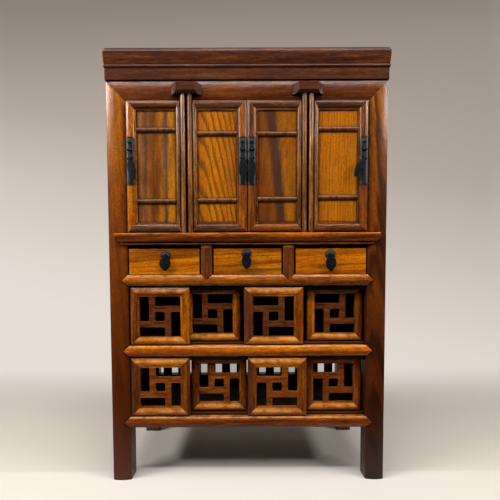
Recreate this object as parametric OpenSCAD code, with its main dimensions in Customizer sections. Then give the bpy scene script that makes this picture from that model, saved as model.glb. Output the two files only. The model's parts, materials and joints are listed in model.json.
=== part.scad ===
// Table-top jewelry cabinet in stained elm: two pairs of pivot doors, three drawers
// and two tiers closed by sliding fretwork panels.
// Millimetres. +Z is up, the front faces -Y, and the origin is at the centre of the footprint.

/* [Overall] */
// Width over the legs
frame_w = 363; // [340:1:400]
// Depth over the legs
frame_d = 200; // [180:1:240]
// Side of each square leg
leg_w = 25; // [20:0.5:30]
// How far the faces of legs and top rail are crowned
face_rise = 2.2; // [1:0.1:3]
// How far the outer sides of legs and side rails are crowned
side_rise = 1.2; // [0.5:0.1:2]
// Width of the hairline in a joint between two pieces of one frame
joint_line = 0.1; // [0.05:0.01:0.3]

/* [Heights, from the ground up] */
// Clear height under the bottom rail
foot_h = 71; // [50:1:100]
// Height of each front rail
rail_h = 14.5; // [13:0.5:18]
// Opening of the lower tier
lower_tier_h = 81; // [70:1:100]
// Opening of the upper tier
upper_tier_h = 79; // [70:1:100]
// Opening of the drawer row
drawer_bay_h = 39; // [34:1:50]
// Opening of the doors
door_bay_h = 168.5; // [150:0.5:200]
// Height of the top rail
top_rail_h = 26; // [18:0.5:30]
// Height of the frieze
frieze_h = 13.5; // [10:0.5:24]
// Height of the crown moulding
crown_h = 28; // [24:0.5:34]

/* [Crown and frieze] */
// Overhang of the crown beyond the legs
crown_out = 1.6; // [1.4:0.1:8]
// Radius of the crown's upper edge
crown_round = 7.5; // [4:0.5:9]
// Breadth of the crown's four lengths
crown_w = 26; // [20:1:34]
// Height of the foot of the crown's fascia
fascia_foot = 5.4; // [5:0.1:6.5]
// Diameter of the half-round bead under the fascia
crown_bead = 6; // [5.4:0.1:7]
// How far that bead stands out from the frieze
bead_out = 1.2; // [1:0.1:2.8]
// Radius of the swell of the fascia
swell_r = 100; // [90:5:200]
// Breadth of the frieze boards
frieze_w = 24; // [16:1:34]
// Thickness of the top panel
top_panel_t = 8; // [6:0.5:10]
// Distance of the top panel below the crown's top
top_panel_drop = 4; // [2:0.5:6]

/* [Rails] */
// Depth of the front rails, front to back
rail_d = 22; // [20:0.5:28]
// How far the front rails are crowned
rail_rise = 3; // [2:0.1:4]
// How far the pointed rails stand proud of the legs
rail_proud = 1; // [0.5:0.1:2]
// Depth of a rail's pointed end in the leg
point_d = 7; // [5:0.5:9]
// How far the sill stands proud of the legs
sill_out = 8; // [7:0.1:11]
// How far the sill is let into the legs
sill_seat = 2.5; // [2:0.1:5]
// Distance from the legs' outer sides to where the sill's rounded ends begin
sill_inset = 18.75; // [14:0.25:20]
// Height of the bead under the sill
sill_bead = 2.2; // [1.5:0.1:3]
// Height of the hollow between that bead and the nose
sill_hollow = 1; // [0.6:0.1:2]
// Distance of the nose's middle below the sill's top
nose_drop = 2.8; // [2:0.1:4]

/* [Sides and back] */
// Thickness of the side rails
side_rail_t = 10; // [8:0.5:14]
// Thickness of side panels, back panels and floors
board_t = 6; // [4:0.5:8]
// Depth of every groove that a board stands in
groove_d = 4; // [2:0.5:5]
// Distance of the side panels behind the legs' sides
side_sink = 4; // [2:0.5:4]
// Depth of the back rails, front to back
back_rail_d = 18; // [14:0.5:20]
// Distance of the back rails in front of the legs' backs
back_sink = 2; // [0:0.5:4]
// Height of the lowest back rail
back_bottom_h = 28; // [20:1:40]
// Number of slats in the back of the lower tier
slat_count = 12; // [8:1:16]
// Width of each slat
slat_w = 14.5; // [10:0.5:18]
// Distance of the tier floors below the tops of their rails
floor_drop = 2.5; // [1:0.5:4]

/* [Doors] */
// Distance between the two pivot axes of neighbouring doors
pivot_gap = 8.8; // [8:0.1:12]
// Diameter of the turned pivot post
post_dia = 6; // [5:0.1:7]
// Diameter of the pintles at both ends of a post
pintle_dia = 4; // [3:0.1:4.6]
// Length of each pintle
pintle_l = 6; // [4:0.5:9]
// Gap between a pintle's end and the end of its hole
bore_end = 1; // [0.5:0.1:2]
// Radial clearance of pintles and staple bars
pin_play = 0.05; // [0.03:0.01:0.09]
// Thickness of a door
door_t = 9; // [8:0.5:10]
// How far a door's face stands in front of its pivot axis
door_ahead = 1.5; // [1:0.1:2]
// Gap between the two doors that meet
door_gap = 1; // [0.9:0.1:3]
// Gap between a pair of doors and its leg
door_side_gap = 2.2; // [0.5:0.1:3]
// Gap above the doors
door_top_gap = 1; // [0.5:0.1:3]
// Gap below the doors
door_bottom_gap = 1.5; // [0.5:0.1:3]
// Gap between a post's shoulder and the sill
shoulder_gap = 0.3; // [0.2:0.05:0.5]
// Width of the door stile away from the pivot
stile_w = 10.4; // [9:0.1:14]
// Width of the moulding beside the post
inner_stile_w = 5.6; // [4:0.1:8]
// Height of the doors' top and bottom rails
door_rail_h = 9.9; // [8:0.1:14]
// Width of the small bead round the sunk panel
bead_w = 2.4; // [1.5:0.1:3]
// How far the door frames are crowned
door_rise = 1.8; // [1:0.1:2.2]
// Depth from the door's face to the bead
bead_sink = 2; // [1.9:0.1:2.5]
// Depth from the door's face to the sunk panel
panel_sink = 3.2; // [3:0.1:4]
// Thickness of the sunk panel
door_panel_t = 3; // [2:0.1:4]
// How far the sunk panel's edges stand in the frame's groove
panel_lap = 2.5; // [1.5:0.1:3]
// Height of the half-round bars on the panels
bar_h = 6.6; // [5:0.1:9]
// Thickness of those bars
bar_t = 2.4; // [1.5:0.1:2.4]
// Height of the upper bar above each door's foot
bar_high = [129.3, 124.6, 124, 129.7];
// Height of the lower bar above each door's foot
bar_low = [39.2, 40, 41.5, 43.5];

/* [Pivot blocks] */
// Width of a pivot block at the rail
block_w = 38; // [34:1:46]
// Width of its front face
block_face_w = 24; // [17:1:28]
// Height of a pivot block
block_h = 13; // [9.5:0.1:15]
// Distance of its top below the frieze
block_drop = 6.8; // [3:0.1:8]
// Height of the bevel under its face
block_bevel = 3.2; // [2:0.1:6]
// How far a block stands proud of the legs
block_out = 10; // [9:0.5:12]
// Depth of the seat cut for it in the top rail
block_seat = 0.8; // [0.5:0.1:2]
// How far its slanting sides begin in front of the top rail
block_edge = 1; // [0.5:0.1:2]
// Depth of its level underside
block_under = 6.5; // [3:0.1:8]

/* [Iron pulls] */
// Thickness of the iron plates
plate_t = 0.8; // [0.6:0.1:1.5]
// Width of a door's pull plate
plate_w = 10.2; // [8:0.1:10.6]
// Height of a door's pull plate
plate_h = 60; // [50:1:70]
// Height of the plate's middle above the door's foot
plate_z = 90; // [80:1:100]
// Diameter of the staples' wire
wire_dia = 1.8; // [1.4:0.1:2.2]
// Distance of the staple's bar in front of its plate
bar_stand = 2.6; // [2.4:0.1:4]
// Distance between the staple's legs
staple_w = 6; // [5:0.1:8]
// Outer diameter of a pendant's rolled eye
eye_dia = 3.6; // [3.2:0.1:4.5]
// Thickness of a pendant
leaf_t = 1.4; // [1:0.1:2]
// Width of a pendant's neck under its eye
leaf_neck = 3.2; // [2.4:0.1:4]
// Width of a pendant's tip
leaf_tip = 1.4; // [0.8:0.1:2]
// Gap between a pendant's eye and the staple's legs, both sides together
eye_play = 0.6; // [0.3:0.1:1.2]
// Corner radius of a door's pull plate
plate_corner = 2; // [1:0.1:3]
// Diameter of the rivet on a door's pull plate
rivet_dia = 6.4; // [4:0.1:8]
// Height of that rivet's head
rivet_h = 1.6; // [1:0.1:2]
// Width of a door's leaf pendant
door_leaf_w = 10.4; // [8:0.1:12]
// Length of a door's leaf pendant below its pivot
door_leaf_l = 27.5; // [20:0.5:34]
// Height of the pull staple above the plate's middle
staple_up = 2.6; // [0:0.1:6]
// Height of the lock staple above the plate's middle
lock_up = 13.5; // [11:0.5:18]
// Height of the rivet above the plate's middle
rivet_up = 24; // [20:0.5:26]
// Turn of each door's pendant in its plane, as it hangs in the loose staple
leaf_turn = [-12, 0, 0, 29];
// Diameter of a drawer's domed rose
rose_dia = 12.6; // [11:0.1:13]
// Height of the rose's dome
rose_h = 2.2; // [1.5:0.1:3]
// Width of each drawer's leaf pendant
drawer_leaf_w = [14.8, 13, 13.8];
// Length of each drawer's leaf pendant below its pivot
drawer_leaf_l = [20, 20, 22.5];
// Height of each rose's middle above its drawer's foot
rose_z = [24.5, 27, 25.5];
// Distance of each rose, nailed on by eye, to the right of its drawer's middle
rose_x = [1.8, -1.3, -0.7];

/* [Drawers] */
// Width of the half-round dividers
divider_w = 15; // [12:0.5:18]
// Distance of the dividers' middles from the cabinet's middle
divider_x = 53.5; // [48:0.5:60]
// Gap at each side of a drawer
drawer_gap = 1.8; // [0.8:0.1:2.5]
// Gap under a drawer
drawer_lift = 0.3; // [0.2:0.05:0.4]
// Height of a drawer front
drawer_h = 33.5; // [28:0.5:36]
// Depth of the drawer front behind the legs' faces
drawer_sink = 1.5; // [0.5:0.1:4]
// Thickness of a drawer front
drawer_front_t = 9; // [7:0.5:12]
// Thickness of a drawer's sides and back
drawer_side_t = 5; // [4:0.5:7]
// Thickness of a drawer's bottom
drawer_bottom_t = 3; // [2:0.5:4]
// Gap between a drawer's box and the back panel
drawer_back_gap = 7.5; // [3:0.5:60]
// How much lower the box sides are than the front
drawer_side_drop = 3; // [1:0.5:6]
// Thickness of the partitions between the drawers
partition_t = 12; // [8:0.5:14]
// Height of the guides beside the outer drawers
guide_h = 10; // [6:0.5:16]

/* [Sliding panels] */
// Width of a front-track panel's stiles
slider_stile_w = 12; // [10:0.5:14]
// How much narrower a rear-track panel is than a front-track one
rear_less = 3.4; // [0.4:0.2:8]
// Thickness of a panel
slider_t = 7; // [6:0.5:8]
// Depth of the front track's panels behind the legs' faces
slider_sink = 1.5; // [1:0.1:3]
// Height of the inner opening of every panel
fret_h = 53; // [46:0.5:54]
// Width of the fret's bars
fret_bar = 7.7; // [6:0.1:10]
// Thickness of the fret
fret_t = 4.5; // [3:0.5:5]
// How far the fret's edges stand in the frame's groove
fret_lap = 2; // [1:0.1:3]
// Corner radius of the fret's sawn openings
fret_corner = 2.1; // [0.6:0.1:2.4]
// How far the panel frames are crowned
slider_rise = 1.9; // [1:0.1:2]
// Thickness of a panel's tongues
tongue_t = 2; // [1.5:0.1:3]
// Width of the grooves that the tongues run in
track_w = 2.6; // [2.2:0.1:4]
// Height of the ledge under the rear track
ledge_h = 3.3; // [3:0.1:6]
// Height of the lip in front of the rear track
lip_h = 6.5; // [4:0.5:8]
// Thickness of that lip
lip_t = 3; // [2:0.5:4]
// Gap under a panel
slider_lift = 0.3; // [0.2:0.05:0.4]
// Gap above a front-track panel
slider_top_gap = 2.3; // [1.5:0.1:3]
// Gap above a rear-track panel
rear_top_gap = 0.5; // [0.4:0.1:1.5]
// How far the tongues reach into the rails' grooves
tongue_reach = 2.4; // [1.6:0.1:2.6]
// Gap between a tongue and its groove's bottom
tongue_play = 0.8; // [0.4:0.1:1.2]
// How far a tongue stops short of its panel's edges
tongue_short = 1; // [0.5:0.1:3]
// Wood left under the groove in the ledge
ledge_floor = 0.9; // [0.6:0.1:1.2]
// Gap between the front panels and the rear track
track_gap = 0.5; // [0.3:0.1:1]
// Gap between the rear panels and their lip
lip_gap = 0.4; // [0.3:0.1:0.8]
// How far each upper panel is slid from the middle of its quarter, left to right
upper_slid = [1.6, -8.2, -5, -0.6];
// How far each lower panel is slid from the middle of its quarter, left to right
lower_slid = [0.8, -0.1, -0.3, -1.5];

/* [Hidden] */
$fn = 48;

// Colours of the stained wood and the iron
dark_wood = "#4a2812";
red_wood = "#6b3d20";
brown_wood = "#8f4c10";
orange_wood = "#b86a08";
bare_wood = "#7a5836";
iron = "#2a2c2e";

// Heights of the levels, from the ground up
z_bottom_rail = foot_h;
z_lower_tier = z_bottom_rail + rail_h;
z_middle_rail = z_lower_tier + lower_tier_h;
z_upper_tier = z_middle_rail + rail_h;
z_drawer_rail = z_upper_tier + upper_tier_h;
z_drawers = z_drawer_rail + rail_h;
z_sill = z_drawers + drawer_bay_h;
z_doors = z_sill + rail_h;
z_top_rail = z_doors + door_bay_h;
z_frieze = z_top_rail + top_rail_h;
z_crown = z_frieze + frieze_h;
z_top = z_crown + crown_h;
// Underside of the pivot blocks
z_block = z_frieze - block_drop - block_h;

// How far a cut runs past the face that it opens
past = 1;
// How far an arc's part reaches into the square part of its bar
arc_lap = 0.2;
// Flat left under the crown's bead
bead_flat = 0.2;
// How far the sill's nose bites into the hollow's level
nose_bite = 0.2;
// Thickness of the sill's web in the hollow
sill_web = 0.5;

// Half widths: outside the legs, between the legs, between the side rails
half_w = frame_w / 2;
bay_w = half_w - leg_w;
side_in = half_w - side_rail_t;
// Ends of the sill on the legs
sill_end_x = half_w - sill_inset;

// Depths behind the legs' faces, which lie at y = 0 until the last move to the origin
top_rail_d = leg_w - groove_d;
back_in = frame_d - back_sink - back_rail_d;
back_board_y = back_in + (back_rail_d - board_t) / 2;
rear_track_y = slider_sink + slider_t + track_gap;
rear_slider_y = rear_track_y + lip_t + lip_gap;

// Sliding panels: each front one covers a quarter of the opening
front_panel_w = bay_w / 2;
rear_panel_w = front_panel_w - rear_less;
fret_w = front_panel_w - 2 * slider_stile_w;
quarter_x = [-0.75, -0.25, 0.25, 0.75] * bay_w;
upper_x = quarter_x + upper_slid;
lower_x = quarter_x + lower_slid;

// Doors: the post touches the plane of the legs' faces from in front
axis_y = -post_dia / 2;
door_y = axis_y - door_ahead;
pair_x = (bay_w - door_side_gap + door_gap / 2) / 2;
axis_in = pair_x - pivot_gap / 2;
axis_out = pair_x + pivot_gap / 2;
door_w = axis_in - door_gap / 2;
door_z = z_doors + door_bottom_gap;
door_h = door_bay_h - door_top_gap - door_bottom_gap;
// Distance of the web behind the post from the post's axis
post_web = 0.4;
// Step between the post and the moulding beside it
post_step = 0.2;
// How far the pintles reach into their post
pintle_root = 3;
// Square edge left on the bars under their arc
bar_edge = 0.3;
// How far the sunk bead reaches into its frame member
bead_root = 0.5;
inner_bead_w = bead_w / 4;
moulding_x = post_dia / 2 + post_step;
panel_x0 = moulding_x + inner_stile_w + inner_bead_w;
panel_x1 = door_w - stile_w - bead_w;

// Pulls; staples and rivets are let into their plates by plate_root
plate_root = plate_t * 0.4;
plate_y = door_y - plate_t;
eye_front = plate_y - bar_stand - eye_dia / 2;
// A leaf's outline: points on a side, share of its length where it is widest, and the
// exponent that keeps its shoulders full
leaf_points = 12;
leaf_wide = 0.4;
leaf_ease = 1.25;
// A drawer's staple stands on the rose's dome
rose_stand = rose_h * 0.75;

// The whole footprint, from the foremost pull to the back of the crown
front_reach = max(-eye_front, block_out, sill_out, crown_out);
y_shift = front_reach - (front_reach + frame_d + crown_out) / 2;

// Drawers: width of the middle and the outer ones
middle_drawer_w = 2 * (divider_x - divider_w / 2 - drawer_gap);
outer_drawer_w = bay_w - divider_x - divider_w / 2 - 2 * drawer_gap;
outer_drawer_x = (bay_w + divider_x + divider_w / 2) / 2;
drawer_x = [-outer_drawer_x, 0, outer_drawer_x];
drawer_w = [outer_drawer_w, middle_drawer_w, outer_drawer_w];
drawer_z = z_drawers + drawer_lift;
drawer_box_l = back_board_y - drawer_back_gap - drawer_sink - drawer_front_t;

// Radius of an arc that rises by rise over the width w
function arc_r(w, rise) = (w * w / 4 + rise * rise) / (2 * rise);

// Moves what is drawn behind the legs' faces into the cabinet's own frame
module placed() {
    translate([0, y_shift, 0]) children();
}

// Cross-section of a crowned bar: w across x, d deep along y, face at y = 0
module crowned(w, d, rise) {
    r = arc_r(w, rise);
    intersection() {
        translate([-w / 2, 0]) square([w, rise + arc_lap]);
        translate([0, r]) circle(r = r, $fn = 96);
    }
    translate([-w / 2, rise]) square([w, d - rise]);
}

// Runs a crowned cross-section along X, its width standing up, centred on x = 0
module run_x(l) {
    rotate([90, 0, 90])
        linear_extrude(l, center = true)
            mirror([1, -1]) children();
}

// Runs it along Y, its width standing up and its face towards -X
module run_y(l) {
    rotate([90, 0, 0])
        linear_extrude(l, center = true)
            mirror([1, -1]) children();
}

// A box from its low corner and its high corner
module span(low, high) {
    translate(low) cube(high - low);
}

// Outline of a rounded rectangle from exact arcs
module round_rect(w, h, r) {
    translate([-w / 2 + r, -h / 2]) square([w - 2 * r, h]);
    translate([-w / 2, -h / 2 + r]) square([w, h - 2 * r]);
    for (x = [-1, 1], y = [-1, 1])
        translate([x * (w / 2 - r), y * (h / 2 - r)]) circle(r = r, $fn = 24);
}

// Outline of a rail with pointed ends, drawn in X and Z with its foot at z = 0
module pointed_outline() {
    p = rail_h / 2;
    polygon([
        [-bay_w, 0], [bay_w, 0], [bay_w + p, p],
        [bay_w, rail_h], [-bay_w, rail_h], [-bay_w - p, p]
    ]);
}

// Space that a pointed rail takes out of the legs
module pointed_space(z) {
    translate([0, point_d, z])
        rotate([90, 0, 0])
            linear_extrude(point_d + rail_proud) pointed_outline();
}

// Space of a divider's V-shaped foot in the drawer rail
module divider_space() {
    for (x = [-divider_x, divider_x])
        translate([x, point_d, z_drawers])
            rotate([90, 0, 0])
                linear_extrude(point_d + rail_proud)
                    polygon([[-divider_w / 2, 0], [0, -divider_w / 2], [divider_w / 2, 0]]);
}

// Space of the top rail with its mitred ends
module top_rail_space() {
    translate([0, top_rail_d, z_top_rail])
        rotate([90, 0, 0])
            linear_extrude(top_rail_d)
                polygon([[-bay_w, 0], [bay_w, 0], [half_w, top_rail_h], [-half_w, top_rail_h]]);
}

// Boards that stand in grooves
module side_panel_boards() {
    x = half_w - side_sink;
    for (m = [0, 1], z = [[z_lower_tier, z_drawer_rail], [z_drawers, z_top_rail]])
        mirror([m, 0, 0])
            span([-x, leg_w - groove_d, z[0] - groove_d],
                 [-x + board_t, frame_d - leg_w + groove_d, z[1] + groove_d]);
}

module back_panel_boards() {
    for (z = [[z_upper_tier, z_drawer_rail], [z_drawers, z_top_rail]])
        span([-bay_w - groove_d, back_board_y, z[0] - groove_d],
             [bay_w + groove_d, back_board_y + board_t, z[1] + groove_d]);
}

module slat_row() {
    pitch = 2 * bay_w / slat_count;
    z = z_bottom_rail + back_bottom_h;
    for (i = [0:slat_count - 1])
        span([-bay_w + (i + 0.5) * pitch - slat_w / 2, back_board_y, z - groove_d],
             [-bay_w + (i + 0.5) * pitch + slat_w / 2, back_board_y + board_t, z_middle_rail + groove_d]);
}

// A floor that fits between the side rails and round the legs, with its top at z
module floor_board(z, back_y) {
    translate([0, 0, z - board_t])
        linear_extrude(board_t)
            union() {
                translate([-bay_w, rail_d - groove_d]) square([2 * bay_w, back_y - rail_d + groove_d]);
                translate([-side_in, leg_w]) square([2 * side_in, frame_d - 2 * leg_w]);
            }
}

module cupboard_board() {
    floor_board(z_doors, back_board_y);
}

module drawer_board() {
    floor_board(z_drawers, back_in + groove_d);
}

module tier_boards() {
    floor_board(z_upper_tier - floor_drop, back_in + groove_d);
    floor_board(z_lower_tier - floor_drop, back_in + groove_d);
}

// A leg at the left front, crowned to the front and to the side
module leg_prism() {
    linear_extrude(z_frieze)
        intersection() {
            translate([-half_w + leg_w / 2, 0]) crowned(leg_w, leg_w, face_rise);
            translate([-half_w, leg_w / 2]) mirror([1, -1]) crowned(leg_w, leg_w, side_rise);
        }
}

module front_leg() {
    color(red_wood) placed() difference() {
        leg_prism();
        top_rail_space();
        for (z = [z_bottom_rail, z_middle_rail, z_drawer_rail]) pointed_space(z);
        sill_seat_space();
        side_panel_boards();
    }
}

module rear_leg() {
    color(red_wood) placed() difference() {
        translate([0, frame_d, 0]) mirror([0, 1, 0]) leg_prism();
        side_panel_boards();
        back_panel_boards();
    }
}

module left_front_leg() {
    front_leg();
}

module right_front_leg() {
    mirror([1, 0, 0]) front_leg();
}

module left_rear_leg() {
    rear_leg();
}

module right_rear_leg() {
    mirror([1, 0, 0]) rear_leg();
}

// Top rail, crowned like the legs and mitred into them, with seats for the pivot blocks
module front_top_rail() {
    color(red_wood) placed() difference() {
        intersection() {
            translate([0, 0, z_top_rail + top_rail_h / 2])
                run_x(frame_w) crowned(top_rail_h, top_rail_d, face_rise);
            top_rail_space();
        }
        for (x = [-pair_x, pair_x])
            span([x - block_w / 2, -past, z_block], [x + block_w / 2, block_seat, z_block + block_h]);
    }
}

// Space of the sill behind the plane of the legs' faces
module sill_seat_space() {
    span([-sill_end_x, -past, z_sill], [sill_end_x, sill_seat, z_doors]);
}

// Cross-section of the sill in front of the legs: y across, z up, face towards -x
module sill_section() {
    lip = sill_bead + sill_hollow;
    nose_z = rail_h - nose_drop;
    nose_r = nose_z - lip + nose_bite;
    intersection() {
        translate([nose_r - sill_out, nose_z]) circle(r = nose_r, $fn = 64);
        translate([-sill_out, lip]) square([sill_out, rail_h - lip]);
    }
    translate([-sill_web, 0]) square([sill_web, rail_h]);
    intersection() {
        translate([-sill_web, sill_bead / 2]) circle(d = sill_bead, $fn = 32);
        translate([-sill_out, 0]) square([sill_out, rail_h]);
    }
}

// Door sill: a proud moulding whose ends return over the legs, with the lower pivot holes
module door_sill() {
    color(brown_wood) placed() difference() {
        union() {
            intersection() {
                translate([0, 0, z_sill])
                    rotate([90, 0, 90])
                        linear_extrude(frame_w, center = true) sill_section();
                translate([0, 0, z_sill])
                    rotate([90, 0, 0])
                        linear_extrude(2 * sill_out, center = true)
                            union() {
                                translate([-sill_end_x, 0]) square([2 * sill_end_x, rail_h]);
                                translate([-sill_end_x, 0]) sill_section();
                                mirror([1, 0]) translate([-sill_end_x, 0]) sill_section();
                            }
            }
            span([-sill_end_x, 0, z_sill], [sill_end_x, sill_seat, z_doors]);
            span([-bay_w, 0, z_sill], [bay_w, rail_d, z_doors]);
        }
        cupboard_board();
        for (s = [-1, 1], a = [axis_in, axis_out])
            translate([s * a, axis_y, z_doors - pintle_l - bore_end])
                cylinder(d = pintle_dia + 2 * pin_play, h = pintle_l + bore_end + past);
    }
}

// A rail with crowned face and pointed ends
module pointed_rail(z) {
    intersection() {
        translate([0, -rail_proud, z + rail_h / 2])
            run_x(frame_w) crowned(rail_h, rail_d + rail_proud, rail_rise);
        union() {
            pointed_space(z);
            span([-bay_w, 0, z], [bay_w, rail_d, z + rail_h]);
        }
    }
}

// Groove for a track's tongues, from the height z0 to the height z1
module track_groove(y, z0, z1) {
    span([-bay_w, y + (slider_t - track_w) / 2, z0],
         [bay_w, y + (slider_t + track_w) / 2, z1]);
}

// Grooves of one tier in the rails under and over it
module tier_grooves(z0, z1) {
    depth = tongue_reach + tongue_play;
    track_groove(slider_sink, z0 - depth, z0 + past);
    track_groove(slider_sink, z1 - past, z1 + depth);
    track_groove(rear_slider_y, z1 - past, z1 + depth);
}

module drawer_rail() {
    color(brown_wood) placed() difference() {
        pointed_rail(z_drawer_rail);
        divider_space();
        drawer_board();
        tier_grooves(z_upper_tier, z_drawer_rail);
    }
}

module middle_rail() {
    color(brown_wood) placed() difference() {
        pointed_rail(z_middle_rail);
        tier_boards();
        tier_grooves(z_upper_tier, z_drawer_rail);
        tier_grooves(z_lower_tier, z_middle_rail);
    }
}

module bottom_rail() {
    color(brown_wood) placed() difference() {
        pointed_rail(z_bottom_rail);
        tier_boards();
        tier_grooves(z_lower_tier, z_middle_rail);
    }
}

// Cross-section of the crown beyond the legs: x outwards, y up, reaching back to x = -back
module crown_section(back) {
    fascia = crown_h - crown_round;
    translate([-back, 0]) square([back, fascia]);
    // The fascia swells out to its rounded upper edge
    intersection() {
        translate([-back, fascia_foot]) square([back + crown_out, fascia - fascia_foot]);
        translate([crown_out - swell_r, fascia]) circle(r = swell_r, $fn = 96);
    }
    translate([bead_out - crown_bead / 2, bead_flat + crown_bead / 2])
        circle(d = crown_bead, $fn = 32);
    translate([-back, fascia_foot])
        square([back + crown_out - crown_round, crown_h - fascia_foot]);
    translate([crown_out - crown_round, fascia]) circle(r = crown_round, $fn = 48);
}

// One mitred length of a rectangular ring, number i counted from the front
module mitred_part(i, w, d, b) {
    across = i % 2 == 0;
    // Half length and half breadth of the ring, seen from this length's outside
    l = across ? w / 2 : d / 2 - joint_line;
    out = across ? d / 2 : w / 2;
    rotate([0, 0, 90 * i])
        linear_extrude(z_top)
            polygon([[-l, -out], [l, -out], [l - b, -out + b], [-l + b, -out + b]]);
}

module top_board() {
    x = half_w + crown_out - crown_w + groove_d;
    y = frame_d / 2 + crown_out - crown_w + groove_d;
    z = z_top - top_panel_drop;
    span([-x, frame_d / 2 - y, z - top_panel_t], [x, frame_d / 2 + y, z]);
}

// Crown: four mitred lengths with a swelling fascia, a rounded top edge and a bead
module crown_moulding() {
    w = frame_w + 2 * crown_out;
    d = frame_d + 2 * crown_out;
    color(dark_wood) placed() for (i = [0:3])
        difference() {
            translate([0, frame_d / 2, 0]) intersection() {
                mitred_part(i, w, d, crown_w);
                rotate([0, 0, 90 * i])
                    translate([0, i % 2 == 0 ? -frame_d / 2 : -half_w, z_crown])
                        rotate([90, 0, -90])
                            linear_extrude(w + d, center = true) crown_section(crown_w);
            }
            top_board();
        }
}

module top_panel() {
    color(dark_wood) placed() top_board();
}

// Frieze: four mitred boards flush with the legs
module frieze() {
    color(dark_wood) placed() for (i = [0:3])
        intersection() {
            translate([0, frame_d / 2, 0]) mitred_part(i, frame_w, frame_d, frieze_w);
            span([-half_w, 0, z_frieze], [half_w, frame_d, z_crown]);
        }
}

// Pivot blocks: bevelled caps on the top rail, bored for the upper pintles
module pivot_blocks() {
    depth = block_out + block_seat;
    color(dark_wood) placed() for (x = [-pair_x, pair_x])
        difference() {
            intersection() {
                translate([x, block_seat, z_block])
                    linear_extrude(block_h)
                        polygon([
                            [-block_w / 2, 0], [-block_w / 2, -block_seat - block_edge],
                            [-block_face_w / 2, -depth], [block_face_w / 2, -depth],
                            [block_w / 2, -block_seat - block_edge], [block_w / 2, 0]
                        ]);
                translate([x, block_seat, z_block])
                    rotate([90, 0, 90])
                        linear_extrude(block_w, center = true)
                            polygon([
                                [0, 0], [-block_seat - block_under, 0], [-depth, block_bevel],
                                [-depth, block_h], [0, block_h]
                            ]);
            }
            for (s = [-1, 1])
                translate([x + s * pivot_gap / 2, axis_y, z_block - past])
                    cylinder(d = pintle_dia + 2 * pin_play, h = pintle_l + bore_end + past);
        }
}

// Dividers between the drawers, with feet let into the drawer rail
module drawer_dividers() {
    color(brown_wood) placed() for (s = [-1, 1])
        intersection() {
            translate([s * divider_x, -rail_proud, z_drawers - divider_w])
                linear_extrude(divider_w + drawer_bay_h)
                    crowned(divider_w, rail_d + rail_proud, rail_rise);
            union() {
                span([-bay_w, -rail_proud, z_drawers], [bay_w, rail_d, z_sill]);
                divider_space();
            }
        }
}

// Side rails at three levels, crowned towards the outside
module side_rails() {
    l = frame_d - 2 * leg_w;
    color(red_wood) placed() for (m = [0, 1])
        mirror([m, 0, 0])
            difference() {
                for (r = [[z_bottom_rail, rail_h], [z_drawer_rail, rail_h], [z_top_rail, top_rail_h]])
                    translate([-half_w, frame_d / 2, r[0] + r[1] / 2])
                        run_y(l) crowned(r[1], side_rail_t, side_rise);
                side_panel_boards();
            }
}

module side_panels() {
    color(brown_wood) placed() side_panel_boards();
}

// Back rails at four levels
module back_rails() {
    rails = [
        [z_bottom_rail, back_bottom_h], [z_middle_rail, rail_h],
        [z_drawer_rail, rail_h], [z_top_rail, top_rail_h]
    ];
    color(dark_wood) placed() difference() {
        for (r = rails)
            span([-bay_w, back_in, r[0]], [bay_w, back_in + back_rail_d, r[0] + r[1]]);
        back_panel_boards();
        slat_row();
        drawer_board();
        tier_boards();
    }
}

module back_panels() {
    color(dark_wood) placed() back_panel_boards();
}

module back_slats() {
    color(brown_wood) placed() slat_row();
}

module cupboard_floor() {
    color(bare_wood) placed() cupboard_board();
}

module drawer_floor() {
    color(bare_wood) placed() drawer_board();
}

module tier_floors() {
    color(brown_wood) placed() tier_boards();
}

// Partitions between the drawers and guides beside the outer ones
module drawer_guides() {
    color(bare_wood) placed() {
        for (x = [-divider_x, divider_x])
            span([x - partition_t / 2, rail_d, z_drawers],
                 [x + partition_t / 2, back_board_y, z_doors - board_t]);
        for (m = [0, 1])
            mirror([m, 0, 0])
                span([-side_in, leg_w, z_drawers], [-bay_w, frame_d - leg_w, z_drawers + guide_h]);
    }
}

// Ledge under and lip in front of the rear track, in both tiers
module panel_tracks() {
    tiers = [[z_lower_tier, z_middle_rail], [z_upper_tier, z_drawer_rail]];
    color(brown_wood) placed() for (t = tiers) {
        difference() {
            span([-bay_w, rear_track_y, t[0]], [bay_w, rail_d, t[0] + ledge_h]);
            track_groove(rear_slider_y, t[0] + ledge_floor, t[0] + ledge_h + past);
        }
        span([-bay_w, rear_track_y, t[1] - lip_h], [bay_w, rear_track_y + lip_t, t[1]]);
    }
}

// Puts a door's pieces, drawn from its axis towards +X, at door number i
module at_door(i) {
    x = [-axis_out, -axis_in, axis_in, axis_out][i];
    s = [-1, 1, -1, 1][i];
    placed() translate([x, axis_y, door_z]) scale_x(s) children();
}

module scale_x(s) {
    if (s < 0) mirror([1, 0, 0]) children();
    else children();
}

// Cross-section of a frame member of the breadth b[0], with a sunk bead of the breadth b[1]
// along its inner edge; the outer edge is at x = 0 and the face at y = 0
module member(b, t, rise, sink) {
    translate([b[0] / 2, 0]) crowned(b[0], t, rise);
    if (b[1] > 0) translate([b[0] - bead_root, sink]) square([b[1] + bead_root, t - sink]);
}

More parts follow.
